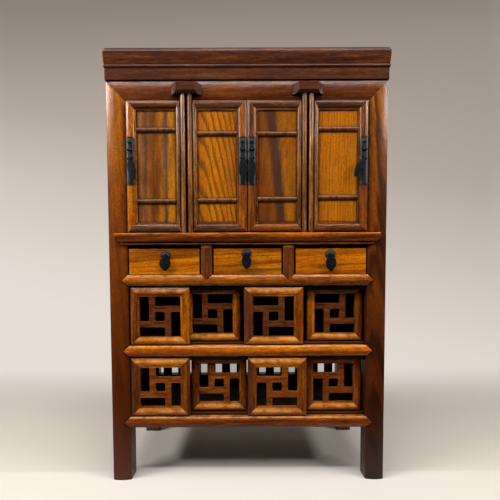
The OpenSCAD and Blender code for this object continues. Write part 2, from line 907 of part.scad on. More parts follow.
// The four mitred members of a frame, w by h, its face at y = 0 and its low corner at the
// origin; left, right and rail are breadths as in member()
module framed(w, h, left, right, rail, t, rise, sink = 0) {
    g = joint_line;
    l = left[0] + left[1];
    r = right[0] + right[1];
    b = rail[0] + rail[1];
    intersection() {
        linear_extrude(h) member(left, t, rise, sink);
        frame_wedge([[0, g], [l, b + g], [l, h - b - g], [0, h - g]], t);
    }
    intersection() {
        translate([w, 0, 0]) linear_extrude(h) mirror([1, 0]) member(right, t, rise, sink);
        frame_wedge([[w, g], [w, h - g], [w - r, h - b - g], [w - r, b + g]], t);
    }
    for (top = [0, 1])
        translate([0, 0, top * h]) mirror([0, 0, top]) intersection() {
            translate([w / 2, 0, 0]) run_x(w) member(rail, t, rise, sink);
            frame_wedge([[0, 0], [w, 0], [w - r, b], [l, b]], t);
        }
}

// An outline in X and Z, t deep behind y = 0
module frame_wedge(points, t) {
    translate([0, t, 0]) rotate([90, 0, 0]) linear_extrude(t) polygon(points);
}

// The sunk panel's board, with its edges in the frame's groove
module door_panel_board() {
    translate([0, panel_sink - door_ahead, 0])
        span([panel_x0 - panel_lap, 0, door_rail_h + bead_w - panel_lap],
             [panel_x1 + panel_lap, door_panel_t, door_h - door_rail_h - bead_w + panel_lap]);
}

// Door frame: mitred crowned members with a bead inside, and the pivot post at x = 0
module door_frame(i) {
    block_z = z_block - door_z;
    color(red_wood) at_door(i) difference() {
        union() {
            translate([moulding_x, -door_ahead, 0])
                framed(door_w - moulding_x, door_h, [inner_stile_w, inner_bead_w], [stile_w, bead_w],
                       [door_rail_h, bead_w], door_t, door_rise, bead_sink);
            // Pivot post, one piece with its stile, and its two pintles
            translate([0, 0, -door_bottom_gap + shoulder_gap])
                cylinder(d = post_dia, h = door_bottom_gap + block_z - 2 * shoulder_gap);
            span([0, post_web, joint_line], [moulding_x, door_t - door_ahead, door_h - joint_line]);
            for (z = [-door_bottom_gap - pintle_l, block_z - pintle_root])
                translate([0, 0, z]) cylinder(d = pintle_dia, h = pintle_l + pintle_root);
        }
        door_panel_board();
    }
}

// Sunk panel and the two half-round bars glued across it
module door_panel(i) {
    color(orange_wood) at_door(i) {
        door_panel_board();
        for (z = [bar_low[i], bar_high[i]])
            translate([(panel_x0 + panel_x1) / 2, panel_sink - door_ahead - bar_t - joint_line, z])
                run_x(panel_x1 - panel_x0) crowned(bar_h, bar_t, bar_t - bar_edge);
    }
}

// A staple: a bar along X, bar_stand in front of y = 0, on two legs that reach back to y = root
module staple(root) {
    for (x = [-staple_w / 2, staple_w / 2]) {
        translate([x, root, 0])
            rotate([90, 0, 0]) cylinder(d = wire_dia, h = bar_stand + root, $fn = 24);
        translate([x, -bar_stand, 0]) sphere(d = wire_dia, $fn = 24);
    }
    translate([-staple_w / 2, -bar_stand, 0])
        rotate([0, 90, 0]) cylinder(d = wire_dia, h = staple_w, $fn = 24);
}

// A leaf pendant below its rolled eye; the eye's axis is the X axis
module leaf(w, l) {
    eye_l = staple_w - wire_dia - eye_play;
    difference() {
        union() {
            rotate([0, 90, 0]) cylinder(d = eye_dia, h = eye_l, center = true, $fn = 32);
            translate([0, leaf_t / 2, 0])
                rotate([90, 0, 0])
                    linear_extrude(leaf_t)
                        polygon(concat(
                            [[-leaf_neck / 2, 0], [leaf_neck / 2, 0]],
                            leaf_side(w, l, 1),
                            leaf_side(w, l, -1)
                        ));
        }
        rotate([0, 90, 0])
            cylinder(d = wire_dia + 2 * pin_play, h = eye_l + 2 * past, center = true, $fn = 32);
    }
}

// Half of the leaf's outline, from its neck to its tip on side 1, and back up on side -1
function leaf_side(w, l, side) =
    [for (i = [1:leaf_points])
        let (t = side > 0 ? i / leaf_points : 1 - (i - 1) / leaf_points,
             z = -eye_dia / 2 - t * (l - eye_dia / 2))
            [side * leaf_half(w, t), z]];

// Half width of the leaf at the share t of its length: it swells like a sine from the neck
// to the widest place, and draws in like a cosine to the tip
function leaf_half(w, t) =
    t < leaf_wide
        ? leaf_neck / 2 + (w - leaf_neck) / 2 * sin(90 * t / leaf_wide)
        : leaf_tip / 2 + (w - leaf_tip) / 2 * cos(90 * pow((t - leaf_wide) / (1 - leaf_wide), leaf_ease));

// Where a door's pull hangs, measured from its axis
module at_pull(i, up) {
    at_door(i)
        translate([door_w - stile_w / 2, -door_ahead - plate_t, plate_z + up]) children();
}

// Pull plate, bent to the stile's crown, with its rivet and two staples
module door_pull_plate(i) {
    r = arc_r(stile_w, door_rise);
    bend = door_rise + plate_t;
    color(iron) {
        at_pull(i, 0)
            intersection() {
                translate([0, 0, -plate_h / 2])
                    linear_extrude(plate_h)
                        difference() {
                            translate([0, r + plate_t]) circle(r = r + plate_t, $fn = 96);
                            translate([0, r + plate_t]) circle(r = r, $fn = 96);
                        }
                translate([0, bend, 0])
                    rotate([90, 0, 0]) linear_extrude(bend + past) round_rect(plate_w, plate_h, plate_corner);
            }
        at_pull(i, rivet_up)
            translate([0, plate_root, 0]) rotate([90, 0, 0]) dome(rivet_dia, rivet_h + plate_root);
        at_pull(i, lock_up) staple(plate_root);
        at_pull(i, staple_up) rotate([0, door_turn(i), 0]) staple(plate_root);
    }
}

// A pendant's turn, seen in the door's own mirrored frame
function door_turn(i) = (i % 2 == 0 ? -1 : 1) * leaf_turn[i];

// A domed rivet or rose on the plane z = 0
module dome(d, h) {
    r = arc_r(d, h);
    intersection() {
        translate([0, 0, h - r]) sphere(r = r, $fn = 64);
        cylinder(d = d + past, h = h + past);
    }
}

module door_pendant(i) {
    color(iron) at_pull(i, staple_up)
        rotate([0, door_turn(i), 0])
            translate([0, -bar_stand, 0]) leaf(door_leaf_w, door_leaf_l);
}

// Puts a drawer's pieces, drawn round the middle of its foot, at drawer number i
module at_drawer(i) {
    placed() translate([drawer_x[i], drawer_sink, drawer_z]) children();
}

module drawer_front(i) {
    w = drawer_w[i];
    color(orange_wood) at_drawer(i) span([-w / 2, 0, 0], [w / 2, drawer_front_t, drawer_h]);
}

// Drawer box: two sides, a back and a bottom, butted behind the front
module drawer_box(i) {
    w = drawer_w[i];
    y0 = drawer_front_t;
    y1 = drawer_front_t + drawer_box_l;
    h = drawer_h - drawer_side_drop;
    s = drawer_side_t;
    g = joint_line;
    color(bare_wood) at_drawer(i) {
        for (m = [0, 1])
            mirror([m, 0, 0]) span([-w / 2, y0, 0], [-w / 2 + s, y1, h]);
        span([-w / 2 + s + g, y1 - s, 0], [w / 2 - s - g, y1, h]);
        span([-w / 2 + s + g, y0, 0], [w / 2 - s - g, y1 - s - g, drawer_bottom_t]);
    }
}

module drawer_rose(i) {
    color(iron) at_drawer(i) translate([rose_x[i], 0, rose_z[i]]) {
        rotate([90, 0, 0]) dome(rose_dia, rose_h);
        translate([0, -rose_stand, 0]) staple(rose_stand / 2);
    }
}

module drawer_pendant(i) {
    color(iron) at_drawer(i)
        translate([rose_x[i], -rose_stand - bar_stand, rose_z[i]])
            leaf(drawer_leaf_w[i], drawer_leaf_l[i]);
}

// Sawn pinwheel fret: five openings, turned the other way on side -1
module fret(side) {
    cx = (fret_w - 2 * fret_bar) / 3;
    cz = (fret_h - 2 * fret_bar) / 3;
    long_x = 2 * cx + fret_bar;
    long_z = 2 * cz + fret_bar;
    x = fret_w / 2;
    z = fret_h / 2;
    lap = fret_lap - joint_line;
    scale_x(side) difference() {
        translate([-x - lap, -z - lap]) square([fret_w + 2 * lap, fret_h + 2 * lap]);
        translate([-x + cx / 2, z - long_z / 2]) round_rect(cx, long_z, fret_corner);
        translate([x - long_x / 2, z - cz / 2]) round_rect(long_x, cz, fret_corner);
        translate([x - cx / 2, -z + long_z / 2]) round_rect(cx, long_z, fret_corner);
        translate([-x + long_x / 2, -z + cz / 2]) round_rect(long_x, cz, fret_corner);
        round_rect(cx, cz, fret_corner);
    }
}

// A sliding panel: mitred frame, sawn fret, and a tongue along its foot and its head
module slider(x, y, z, w, h, tongue_h, side) {
    stile = (w - fret_w) / 2;
    rail = (h - fret_h) / 2;
    fret_y = (slider_t + fret_t) / 2;
    g = joint_line;
    placed() translate([x, y, z]) {
        difference() {
            translate([-w / 2, 0, 0])
                framed(w, h, [stile, 0], [stile, 0], [rail, 0], slider_t, slider_rise);
            span([-fret_w / 2 - fret_lap, fret_y - fret_t - g, rail - fret_lap],
                 [fret_w / 2 + fret_lap, fret_y + g, h - rail + fret_lap]);
        }
        translate([0, fret_y, h / 2]) rotate([90, 0, 0]) linear_extrude(fret_t) fret(side);
        for (t = [[-tongue_h[0], g], [h - g, h + tongue_h[1]]])
            span([-w / 2 + tongue_short, (slider_t - tongue_t) / 2, t[0]],
                 [w / 2 - tongue_short, (slider_t + tongue_t) / 2, t[1]]);
    }
}

// Panel number i of the tier whose opening runs from z0 to z1
module tier_panel(i, x, z0, z1) {
    front = i % 2 == 0;
    side = i < 2 ? 1 : -1;
    opening = z1 - z0;
    // A panel stands slider_lift above its rail or ledge, which its foot's tongue reaches past
    ledge_reach = ledge_h - ledge_floor - tongue_play + slider_lift;
    color(front ? brown_wood : red_wood)
        if (front)
            slider(x, slider_sink, z0 + slider_lift, front_panel_w, opening - slider_lift - slider_top_gap,
                   [tongue_reach + slider_lift, tongue_reach + slider_top_gap], side);
        else
            slider(x, rear_slider_y, z0 + ledge_h + slider_lift, rear_panel_w,
                   opening - ledge_h - slider_lift - rear_top_gap,
                   [ledge_reach, tongue_reach + rear_top_gap], side);
}

left_front_leg();
right_front_leg();
left_rear_leg();
right_rear_leg();
front_top_rail();
door_sill();
drawer_rail();
middle_rail();
bottom_rail();
crown_moulding();
top_panel();
frieze();
pivot_blocks();
drawer_dividers();
side_rails();
side_panels();
back_rails();
back_panels();
back_slats();
cupboard_floor();
drawer_floor();
tier_floors();
drawer_guides();
panel_tracks();
for (i = [0:3]) {
    door_frame(i);
    door_panel(i);
    door_pull_plate(i);
    door_pendant(i);
    tier_panel(i, upper_x[i], z_upper_tier, z_drawer_rail);
    tier_panel(i, lower_x[i], z_lower_tier, z_middle_rail);
}
for (i = [0:2]) {
    drawer_front(i);
    drawer_box(i);
    drawer_rose(i);
    drawer_pendant(i);
}
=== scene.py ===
# Table-top jewelry cabinet in stained and lacquered elm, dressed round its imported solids.
# Everything is in metres: +Z is up, the front faces -Y and the cabinet stands on z = 0.
import json
import math

import bpy
from mathutils import Matrix, Vector


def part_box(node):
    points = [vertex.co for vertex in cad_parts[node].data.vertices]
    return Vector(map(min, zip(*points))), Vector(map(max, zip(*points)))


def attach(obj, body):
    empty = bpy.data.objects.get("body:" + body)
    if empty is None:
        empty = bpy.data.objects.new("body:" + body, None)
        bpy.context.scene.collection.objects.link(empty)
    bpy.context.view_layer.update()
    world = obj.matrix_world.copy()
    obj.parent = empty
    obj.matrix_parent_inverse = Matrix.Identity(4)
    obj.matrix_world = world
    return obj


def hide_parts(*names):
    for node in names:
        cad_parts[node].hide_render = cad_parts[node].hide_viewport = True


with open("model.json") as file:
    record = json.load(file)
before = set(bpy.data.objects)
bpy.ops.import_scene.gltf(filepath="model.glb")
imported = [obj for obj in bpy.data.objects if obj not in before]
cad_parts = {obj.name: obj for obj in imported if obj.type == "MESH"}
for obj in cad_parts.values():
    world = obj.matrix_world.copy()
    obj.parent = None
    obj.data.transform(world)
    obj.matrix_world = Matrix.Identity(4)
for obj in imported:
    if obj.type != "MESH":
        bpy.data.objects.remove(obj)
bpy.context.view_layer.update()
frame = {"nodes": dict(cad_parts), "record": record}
nodes = frame["nodes"]
MM = 0.001


# Camera
# A short lens stands close in front of the legs, a little under the middle of the cabinet,
# and looks slightly down. The picture's middle lies above the lens axis, hence the shift.
FOCAL_PX = 406.0
PICTURE_PX = 500
AXIS_PX = (247.7, 297.8)
EYE_DISTANCE = 530.3 * MM
EYE_HEIGHT = 271.7 * MM
EYE_PITCH = math.radians(2.98)
EYE_ROLL = math.radians(-0.2)
front_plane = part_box("left_front_leg")[0].y

bpy.ops.object.camera_add()
camera = bpy.context.object
camera.name = "camera"
camera.data.sensor_width = 36
camera.data.lens = 36 * FOCAL_PX / PICTURE_PX
camera.data.shift_x = (PICTURE_PX / 2 - AXIS_PX[0]) / PICTURE_PX
camera.data.shift_y = (AXIS_PX[1] - PICTURE_PX / 2) / PICTURE_PX
camera.data.clip_start = 0.01
camera.matrix_world = (
    Matrix.Translation((0, front_plane - EYE_DISTANCE, EYE_HEIGHT))
    @ Matrix.Rotation(math.pi / 2 - EYE_PITCH, 4, "X")
    @ Matrix.Rotation(EYE_ROLL, 4, "Z")
)
bpy.context.scene.camera = camera


# Legs
# Four square legs of elm, planed with a slightly crowned face, stained orange to red brown and
# lacquered. The rails' pointed ends are let into them. Painted shade darkens the front legs
# towards the foot, and painted shade and grime darken each leg's inner side.
def linear(code):
    """An sRGB hex colour as linear red, green, blue and alpha."""
    parts = [int(code[i : i + 2], 16) / 255 for i in (1, 3, 5)]
    return [c / 12.92 if c <= 0.04045 else ((c + 0.055) / 1.055) ** 2.4 for c in parts] + [1]


def add(tree, kind, links=None, stops=None, **settings):
    """Adds one shader node with its settings and with values or links for its inputs, gives a
    ramp its stops, and returns the node's first output in use."""
    node = tree.nodes.new("ShaderNode" + kind)
    for key, value in settings.items():
        setattr(node, key, value)
    for key, value in (links or {}).items():
        if isinstance(value, bpy.types.NodeSocket):
            tree.links.new(value, node.inputs[key])
        else:
            node.inputs[key].default_value = value
    if stops:
        elements = node.color_ramp.elements
        while len(elements) < len(stops):
            elements.new(0.5)
        for element, (place, colour) in zip(elements, stops):
            element.position = place
            element.color = linear(colour) if isinstance(colour, str) else [colour] * 3 + [1]
    return next((s for s in node.outputs if s.enabled), None)


# Elm is ring-porous: each year's ring opens with a row of wide pores, which take up the dark
# stain, and fades into hard late wood. The lacquer over it gives crisp narrow highlights. Old
# dirt and painted shade darken the creases, and hands have rubbed the arrises down to pale
# wood. Real pores are 0.2 mm wide and real specks smaller. Both are drawn as coarse as they
# need to show.
RING_MM = 4.0  # one year's growth
STREAK_MM = 5.0  # slow streaks of the stain
PORE_MM = 0.9
PATCH_MM = 12  # patches of wear and of thicker lacquer
GRIT_MM = 1.4
CREASE_MM = 3.5  # how far dirt and painted shade reach out of a crease
ARRIS_MM = 1.2  # how far in an arris is rubbed
RELIEF_MM = 0.2  # a pore's depth
# pale wood of rubbed arrises, also the colour of painted highlights
PALE_WEAR_AND_HIGHLIGHT = "#c67e34"
# colour of the real patina in soft patches, and of painted shade along named edges
PATINA_AND_SHADE = "#38190c"
# colour of dirt and painted shade in creases, and of the dark mitre joints
DIRT_AND_SHADE = "#0d0502"


def frame_members(t, x, z, outer, inner):
    """Tells the members of a mitred frame apart by its outer and inner edges, each left, right,
    foot and head. Returns the number of the member, 0 to 3 for head, foot, right and left,
    whether it is a stile, whether the point lies inside the frame, and the lines of its mitres."""
    # Share of the way from the outer edge to the inner one, on each side of the frame
    from_left, from_right, from_foot, from_head = [
        add(t, "Math", {0: at, 1: 1 / (b - a), 2: -a / (b - a)}, operation="MULTIPLY_ADD")
        for at, a, b in zip((x, x, z, z), outer, inner)
    ]
    upright = add(t, "Math", {0: from_left, 1: from_right}, operation="MINIMUM")
    level = add(t, "Math", {0: from_foot, 1: from_head}, operation="MINIMUM")
    stile = add(t, "Math", {0: upright, 1: level}, operation="LESS_THAN")
    leftward = add(t, "Math", {0: from_left, 1: from_right}, operation="LESS_THAN")
    lower = add(t, "Math", {0: from_foot, 1: from_head}, operation="LESS_THAN")
    second = add(t, "Mix", {0: stile, 2: lower, 3: leftward})
    member = add(t, "Math", {0: stile, 1: 2, 2: second}, operation="MULTIPLY_ADD")
    nearest = add(t, "Math", {0: upright, 1: level}, operation="MINIMUM")
    inside = add(t, "Math", {0: nearest, 1: 1.0}, operation="GREATER_THAN")
    mitre = add(t, "Math", {0: upright, 1: level}, operation="SUBTRACT")
    mitre = add(t, "Math", {0: mitre}, operation="ABSOLUTE")
    mitre = add(t, "MapRange", {"Value": mitre, "From Max": 0.07, "To Min": 0.8, "To Max": 0.0})
    mitre = add(t, "Math", {0: mitre, 1: inside}, operation="SUBTRACT", use_clamp=True)
    return member, stile, inside, mitre


def elm(name, tones, lines="#3a1804", seed=0.0, grain="X", ring=RING_MM, heart=(14, 40),
        tilt=(3, 1), ring_depth=0.5, across=None, lean=0.0, members=None, proud=None, patina=0.4,
        highlight_and_wear_edges=(), highlight_and_wear_mm=1.6, highlight_and_wear_colour=PALE_WEAR_AND_HIGHLIGHT, shade_and_grime_edges=(), shade_and_grime_mm=2.5, wear=0.5,
        crease_dirt_and_shade=0.95, gloss=0.36, wander=8.0, coat=0.4):
    """Stained and lacquered elm. tones are stops of the stain's colour over slow streaks, or
    from one plane to another where across is given, leaning by lean. lines is the colour of
    early wood and pores. heart is the tree's middle in mm, tilt turns the board in the tree, and
    wander bends the rings by so many mm. members gives a mitred frame's outer and inner edges,
    its stains for head, foot, right and left, and the stain inside it. proud gives a plane in
    front of which another stain shows. Along one set of named edges a painted highlight and
    wear take the pale colour, along the other painted shade and grime take the patina's. gloss
    is the roughness under a coat of lacquer."""
    mat = bpy.data.materials.new(name)
    mat.use_nodes = True
    t = mat.node_tree
    t.nodes.clear()
    where = t.nodes.new("ShaderNodeTexCoord").outputs["Object"]
    x, y, z = add(t, "SeparateXYZ", {0: where}).node.outputs
    place = {"X": x, "Y": y, "Z": z}
    order = {"X": (x, z, y), "Y": (y, z, x), "Z": (z, x, y)}[grain]
    board = seed
    if members:
        # Each member is cut from another board, and the grain runs along it
        outer, inner, stains, within = members
        member, stile, inside, mitre = frame_members(t, x, z, outer, inner)
        along_z = add(t, "Math", {0: stile, 1: inside}, operation="GREATER_THAN")
        order = (add(t, "Mix", {0: along_z, 2: x, 3: z}),
                 add(t, "Mix", {0: along_z, 2: z, 3: x}), y)
        board = add(t, "Math", {0: member, 1: 3.7, 2: seed}, operation="MULTIPLY_ADD")
    fibre = add(t, "CombineXYZ", dict(enumerate(order)))
    turned = add(t, "Mapping", {
        "Vector": fibre, "Location": (0, heart[0] * MM, heart[1] * MM),
        "Rotation": (0, math.radians(tilt[0]), math.radians(tilt[1])), "Scale": (MM, MM, MM),
    }, vector_type="TEXTURE")
    # Streaks are drawn out along the grain, fine ones about six times and slow ones thirty
    drawn = add(t, "VectorMath", {0: turned, 1: (0.03, 1, 1)}, operation="MULTIPLY")
    short = add(t, "VectorMath", {0: turned, 1: (0.16, 1, 1)}, operation="MULTIPLY")
    sway = add(t, "TexNoise", {"Vector": drawn, "W": board, "Scale": 0.1, "Detail": 2.5},
               noise_dimensions="4D")
    swayed = add(t, "Math", {0: sway, 1: wander, 2: -wander / 2}, operation="MULTIPLY_ADD")
    flat = add(t, "VectorMath", {0: turned, 1: (0, 1, 1)}, operation="MULTIPLY")
    radius = add(t, "VectorMath", {0: flat}, operation="LENGTH").node.outputs["Value"]
    year = add(t, "Math", {0: radius, 1: swayed}, operation="ADD")
    year = add(t, "Math", {0: year, 1: ring}, operation="DIVIDE")
    season = add(t, "Math", {0: year}, operation="FRACT")
    early = add(t, "ValToRGB", {"Fac": season},
                stops=[(0.0, 1.0), (0.2, 0.8), (0.42, 0.12), (0.86, 0.0), (1.0, 0.9)])
    slow = add(t, "TexNoise", {"Vector": drawn, "W": board, "Scale": 1 / STREAK_MM,
                               "Detail": 4, "Roughness": 0.6}, noise_dimensions="4D")
    quick = add(t, "TexNoise", {"Vector": short, "W": board, "Scale": 0.6, "Detail": 4,
                                "Roughness": 0.7}, noise_dimensions="4D")
    streak = add(t, "Math", {0: quick, 1: 0.45}, operation="MULTIPLY")
    streak = add(t, "Math", {0: slow, 1: 0.55, 2: streak}, operation="MULTIPLY_ADD")
    share = add(t, "MapRange", {"Value": streak, "From Min": 0.4, "From Max": 0.6})
    if across:
        plane, low, high = across
        leant = add(t, "Math", {0: z, 1: lean, 2: place[plane]}, operation="MULTIPLY_ADD")
        share = add(t, "MapRange", {"Value": leant, "From Min": low, "From Max": high})
        share = add(t, "Math", {0: streak, 1: 0.3, 2: share}, operation="MULTIPLY_ADD")
        share = add(t, "Math", {0: share, 1: 0.15}, operation="SUBTRACT")
    if members:
        which = add(t, "Math", {0: member, 1: 0.25, 2: 0.125}, operation="MULTIPLY_ADD")
        shades = []
        for shade in (0, 1):
            ramp = add(t, "ValToRGB", {"Fac": which},
                       stops=[(0.25 * i, stain[shade]) for i, stain in enumerate(stains)])
            ramp.node.color_ramp.interpolation = "CONSTANT"
            if within:
                ramp = add(t, "Mix", {0: inside, 6: ramp, 7: linear(within[shade])},
                           data_type="RGBA")
            shades.append(ramp)
        base = add(t, "Mix", {0: share, 6: shades[0], 7: shades[1]}, data_type="RGBA")
    else:
        base = add(t, "ValToRGB", {"Fac": share}, stops=tones)
    ringed = add(t, "Math", {0: early, 1: ring_depth}, operation="MULTIPLY")
    if proud:
        plane, front, stain = proud
        ahead = add(t, "Math", {0: place[plane], 1: front}, operation="LESS_THAN")
        streaked = add(t, "ValToRGB", {"Fac": streak}, stops=[(0.42, stain[0]), (0.6, stain[1])])
        base = add(t, "Mix", {0: ahead, 6: base, 7: streaked}, data_type="RGBA")
        behind = add(t, "Math", {0: ahead, 1: -0.8, 2: 1.0}, operation="MULTIPLY_ADD")
        ringed = add(t, "Math", {0: ringed, 1: behind}, operation="MULTIPLY")
    base = add(t, "Mix", {0: ringed, 6: base, 7: linear(lines)}, data_type="RGBA")
    # Open pores are short dark dashes along the grain, thickest in the early wood
    pores = add(t, "TexNoise", {"Vector": drawn, "W": board, "Scale": 1 / PORE_MM,
                                "Detail": 3, "Roughness": 0.7}, noise_dimensions="4D")
    dashes = add(t, "MapRange", {"Value": pores, "From Min": 0.48, "From Max": 0.66})
    deep = add(t, "Math", {0: early, 1: 0.4, 2: 0.45}, operation="MULTIPLY_ADD")
    dashed = add(t, "Math", {0: dashes, 1: deep}, operation="MULTIPLY")
    base = add(t, "Mix", {0: dashed, 6: base, 7: linear(lines)}, data_type="RGBA")
    # Fine specks, purple-brown patina in soft patches, dirt and painted shade in every crease,
    # painted shade and a painted highlight with wear along named edges, and pale wood along rubbed
    # arrises
    patch = add(t, "TexNoise", {"Vector": where, "W": seed + 5, "Scale": 1 / (PATCH_MM * MM),
                                "Detail": 4, "Roughness": 0.6}, noise_dimensions="4D")
    grit = add(t, "TexNoise", {"Vector": where, "W": seed + 13, "Scale": 1 / (GRIT_MM * MM),
                               "Detail": 3, "Roughness": 0.7}, noise_dimensions="4D")
    specks = add(t, "MapRange", {"Value": grit, "From Min": 0.46, "From Max": 0.64,
                                 "To Max": 0.55})
    base = add(t, "Mix", {0: specks, 6: base, 7: linear(lines)}, data_type="RGBA")
    cloud = add(t, "TexNoise", {"Vector": short, "W": seed + 9, "Scale": 0.09, "Detail": 4,
                                "Roughness": 0.6}, noise_dimensions="4D")
    dulled = add(t, "MapRange", {"Value": cloud, "From Min": 0.44, "From Max": 0.6,
                                 "To Max": patina})
    base = add(t, "Mix", {0: dulled, 6: base, 7: linear(PATINA_AND_SHADE)}, data_type="RGBA")
    # Dirt and painted shade: darker wherever this piece or its neighbours close in, in creases and
    # recesses
    crease = add(t, "AmbientOcclusion", {"Distance": CREASE_MM * MM}, samples=6)
    dirt_and_shade_mask = add(t, "MapRange", {"Value": crease.node.outputs["AO"], "From Min": 0.97,
                                "From Max": 0.6, "To Max": crease_dirt_and_shade})
    masks = [(dirt_and_shade_mask, DIRT_AND_SHADE)] + ([(mitre, DIRT_AND_SHADE)] if members else [])
    # Painted shade along the first set of named edges, a painted highlight with wear along the
    # second
    for planes, width, amount, colour in ((shade_and_grime_edges, shade_and_grime_mm, 0.85, PATINA_AND_SHADE),
                                          (highlight_and_wear_edges, highlight_and_wear_mm, 0.75, highlight_and_wear_colour)):
        near = None
        for plane, value in planes:
            gap = add(t, "Math", {0: place[plane], 1: value}, operation="SUBTRACT")
            gap = add(t, "Math", {0: gap}, operation="ABSOLUTE")
            near = add(t, "Math", {0: near, 1: gap}, operation="MINIMUM") if near else gap
        if near:
            rim = add(t, "MapRange", {"Value": near, "From Max": width * MM,
                                      "To Min": 1.0, "To Max": 0.0})
            ragged = add(t, "MapRange", {"Value": patch, "From Min": 0.4, "From Max": 0.58,
                                         "To Min": 0.15, "To Max": amount})
            rim = add(t, "Math", {0: rim, 1: ragged}, operation="MULTIPLY")
            # On a frame the painted highlight lies across head and foot, not on the stiles
            if members and colour == highlight_and_wear_colour:
                rim = add(t, "Math", {0: rim, 1: stile}, operation="SUBTRACT", use_clamp=True)
            masks.append((rim, colour))
    arris = add(t, "AmbientOcclusion", {"Distance": ARRIS_MM * MM}, samples=4, only_local=True,
                inside=True).node.outputs["AO"]
    bare = add(t, "MapRange", {"Value": arris, "From Min": 0.75, "From Max": 0.35})
    ragged = add(t, "MapRange", {"Value": patch, "From Min": 0.45, "From Max": 0.6,
                                 "To Max": wear})
    masks.append((add(t, "Math", {0: bare, 1: ragged}, operation="MULTIPLY"), PALE_WEAR_AND_HIGHLIGHT))
    for mask, colour in masks:
        base = add(t, "Mix", {0: mask, 6: base, 7: linear(colour)}, data_type="RGBA")
    rough = add(t, "MapRange", {"Value": quick, "From Min": 0.3, "From Max": 0.7,
                                "To Min": gloss - 0.06, "To Max": gloss + 0.14})
    relief = add(t, "Math", {0: dashed, 1: -0.7, 2: 1.0}, operation="MULTIPLY_ADD")
    uneven = add(t, "Math", {0: patch, 1: 1.6, 2: relief}, operation="MULTIPLY_ADD")
    uneven = add(t, "Math", {0: grit, 1: 1.1, 2: uneven}, operation="MULTIPLY_ADD")
    normal = add(t, "Bump", {"Height": uneven, "Strength": 0.55, "Distance": RELIEF_MM * MM})
    shader = add(t, "BsdfPrincipled", {
        "Base Color": base, "Roughness": rough, "Normal": normal, "Specular IOR Level": 0.05,
        "Coat Weight": coat, "Coat Roughness": 0.16, "Coat Normal": normal,
    })
    add(t, "OutputMaterial", {"Surface": shader})
    return mat


ARRIS = 0.5 * MM
TOUCHING = 0.001 * MM  # points this close are one


def finish_wood(node, material, arris=ARRIS):
    """Gives a packed wooden piece its material and eases its arrises, as a hand plane would."""
    piece = nodes[node]
    piece.data.materials.clear()
    piece.data.materials.append(material)
    piece.modifiers.new("weld", "WELD").merge_threshold = TOUCHING
    flat = piece.modifiers.new("flat faces", "DECIMATE")
    flat.decimate_type = "DISSOLVE"
    flat.angle_limit = math.radians(0.3)
    ease = piece.modifiers.new("eased arrises", "BEVEL")
    ease.width = arris
    ease.segments = 2
    ease.limit_method = "ANGLE"
    ease.angle_limit = math.radians(35)
    piece.modifiers.new("shading", "WEIGHTED_NORMAL")


REAR_LEG = [(0.0, "#522406"), (0.5, "#713608"), (1.0, "#85460a")]
LEG_ARRIS = 0.9 * MM
for number, (node, tones) in enumerate({
    "left_front_leg": [(0.0, "#481903"), (0.25, "#572203"), (0.5, "#783503"), (0.75, "#9c5006"),
                       (1.0, "#b66c14")],
    "right_front_leg": [(0.0, "#200c04"), (0.12, "#3a1706"), (0.4, "#642b04"), (0.7, "#8e4606"),
                        (1.0, "#a86018")],
    "left_rear_leg": REAR_LEG,
    "right_rear_leg": REAR_LEG,
}.items()):
    low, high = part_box(node)
    # The right front leg shows a slanting dark figure, the others a faint straight one
    figured = node == "right_front_leg"
    finish_wood(node, elm(
        "elm_" + node, tones, lines="#200d05" if figured else "#3a1804", seed=2.3 * number,
        grain="Z", heart=((low.x + high.x) / 2 / MM + 60, 70), tilt=(3, -14 if figured else 1),
        ring=6.5, ring_depth=0.85 if figured else 0.25, patina=0.35,
        # Painted shade darkens the front legs towards the foot, and shade and grime each inner side
        across=("Z", low.z, high.z) if "front" in node else None,
        shade_and_grime_edges=[("X", low.x if "right" in node else high.x)], shade_and_grime_mm=5,
    ), LEG_ARRIS)


# Top rail
# One length of elm across the top of the doors, crowned like the legs and mitred into them,
# a redder brown, with shallow seats for the pivot blocks.
low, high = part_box("front_top_rail")
finish_wood("front_top_rail", elm(
    "elm_top_rail", [(0.0, "#4c1f09"), (0.5, "#6c3411"), (1.0, "#8a4a18")], seed=11.0,
    heart=(low.z / MM - 14, 50), ring_depth=0.25, patina=0.45, crease_dirt_and_shade=0.5,
    # Painted shade darkens its top and bottom edges
    shade_and_grime_edges=[("Z", low.z), ("Z", high.z)], shade_and_grime_mm=5,
))


# Pivot blocks
# Two bevelled caps of dark wood nailed to the top rail. Each is bored for the upper pintles of
# two doors, and its arrises are rubbed pale.
BLOCK_ARRIS = 0.8 * MM
low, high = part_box("pivot_blocks")
finish_wood("pivot_blocks", elm(
    "elm_pivot_blocks", [(0.0, "#371710"), (0.5, "#522615"), (1.0, "#6b3a1e")], seed=17.0,
    # Its top edge is painted darker
    heart=(low.z / MM + 40, 20), ring_depth=0.2, wear=0.8, shade_and_grime_edges=[("Z", high.z)],
), BLOCK_ARRIS)


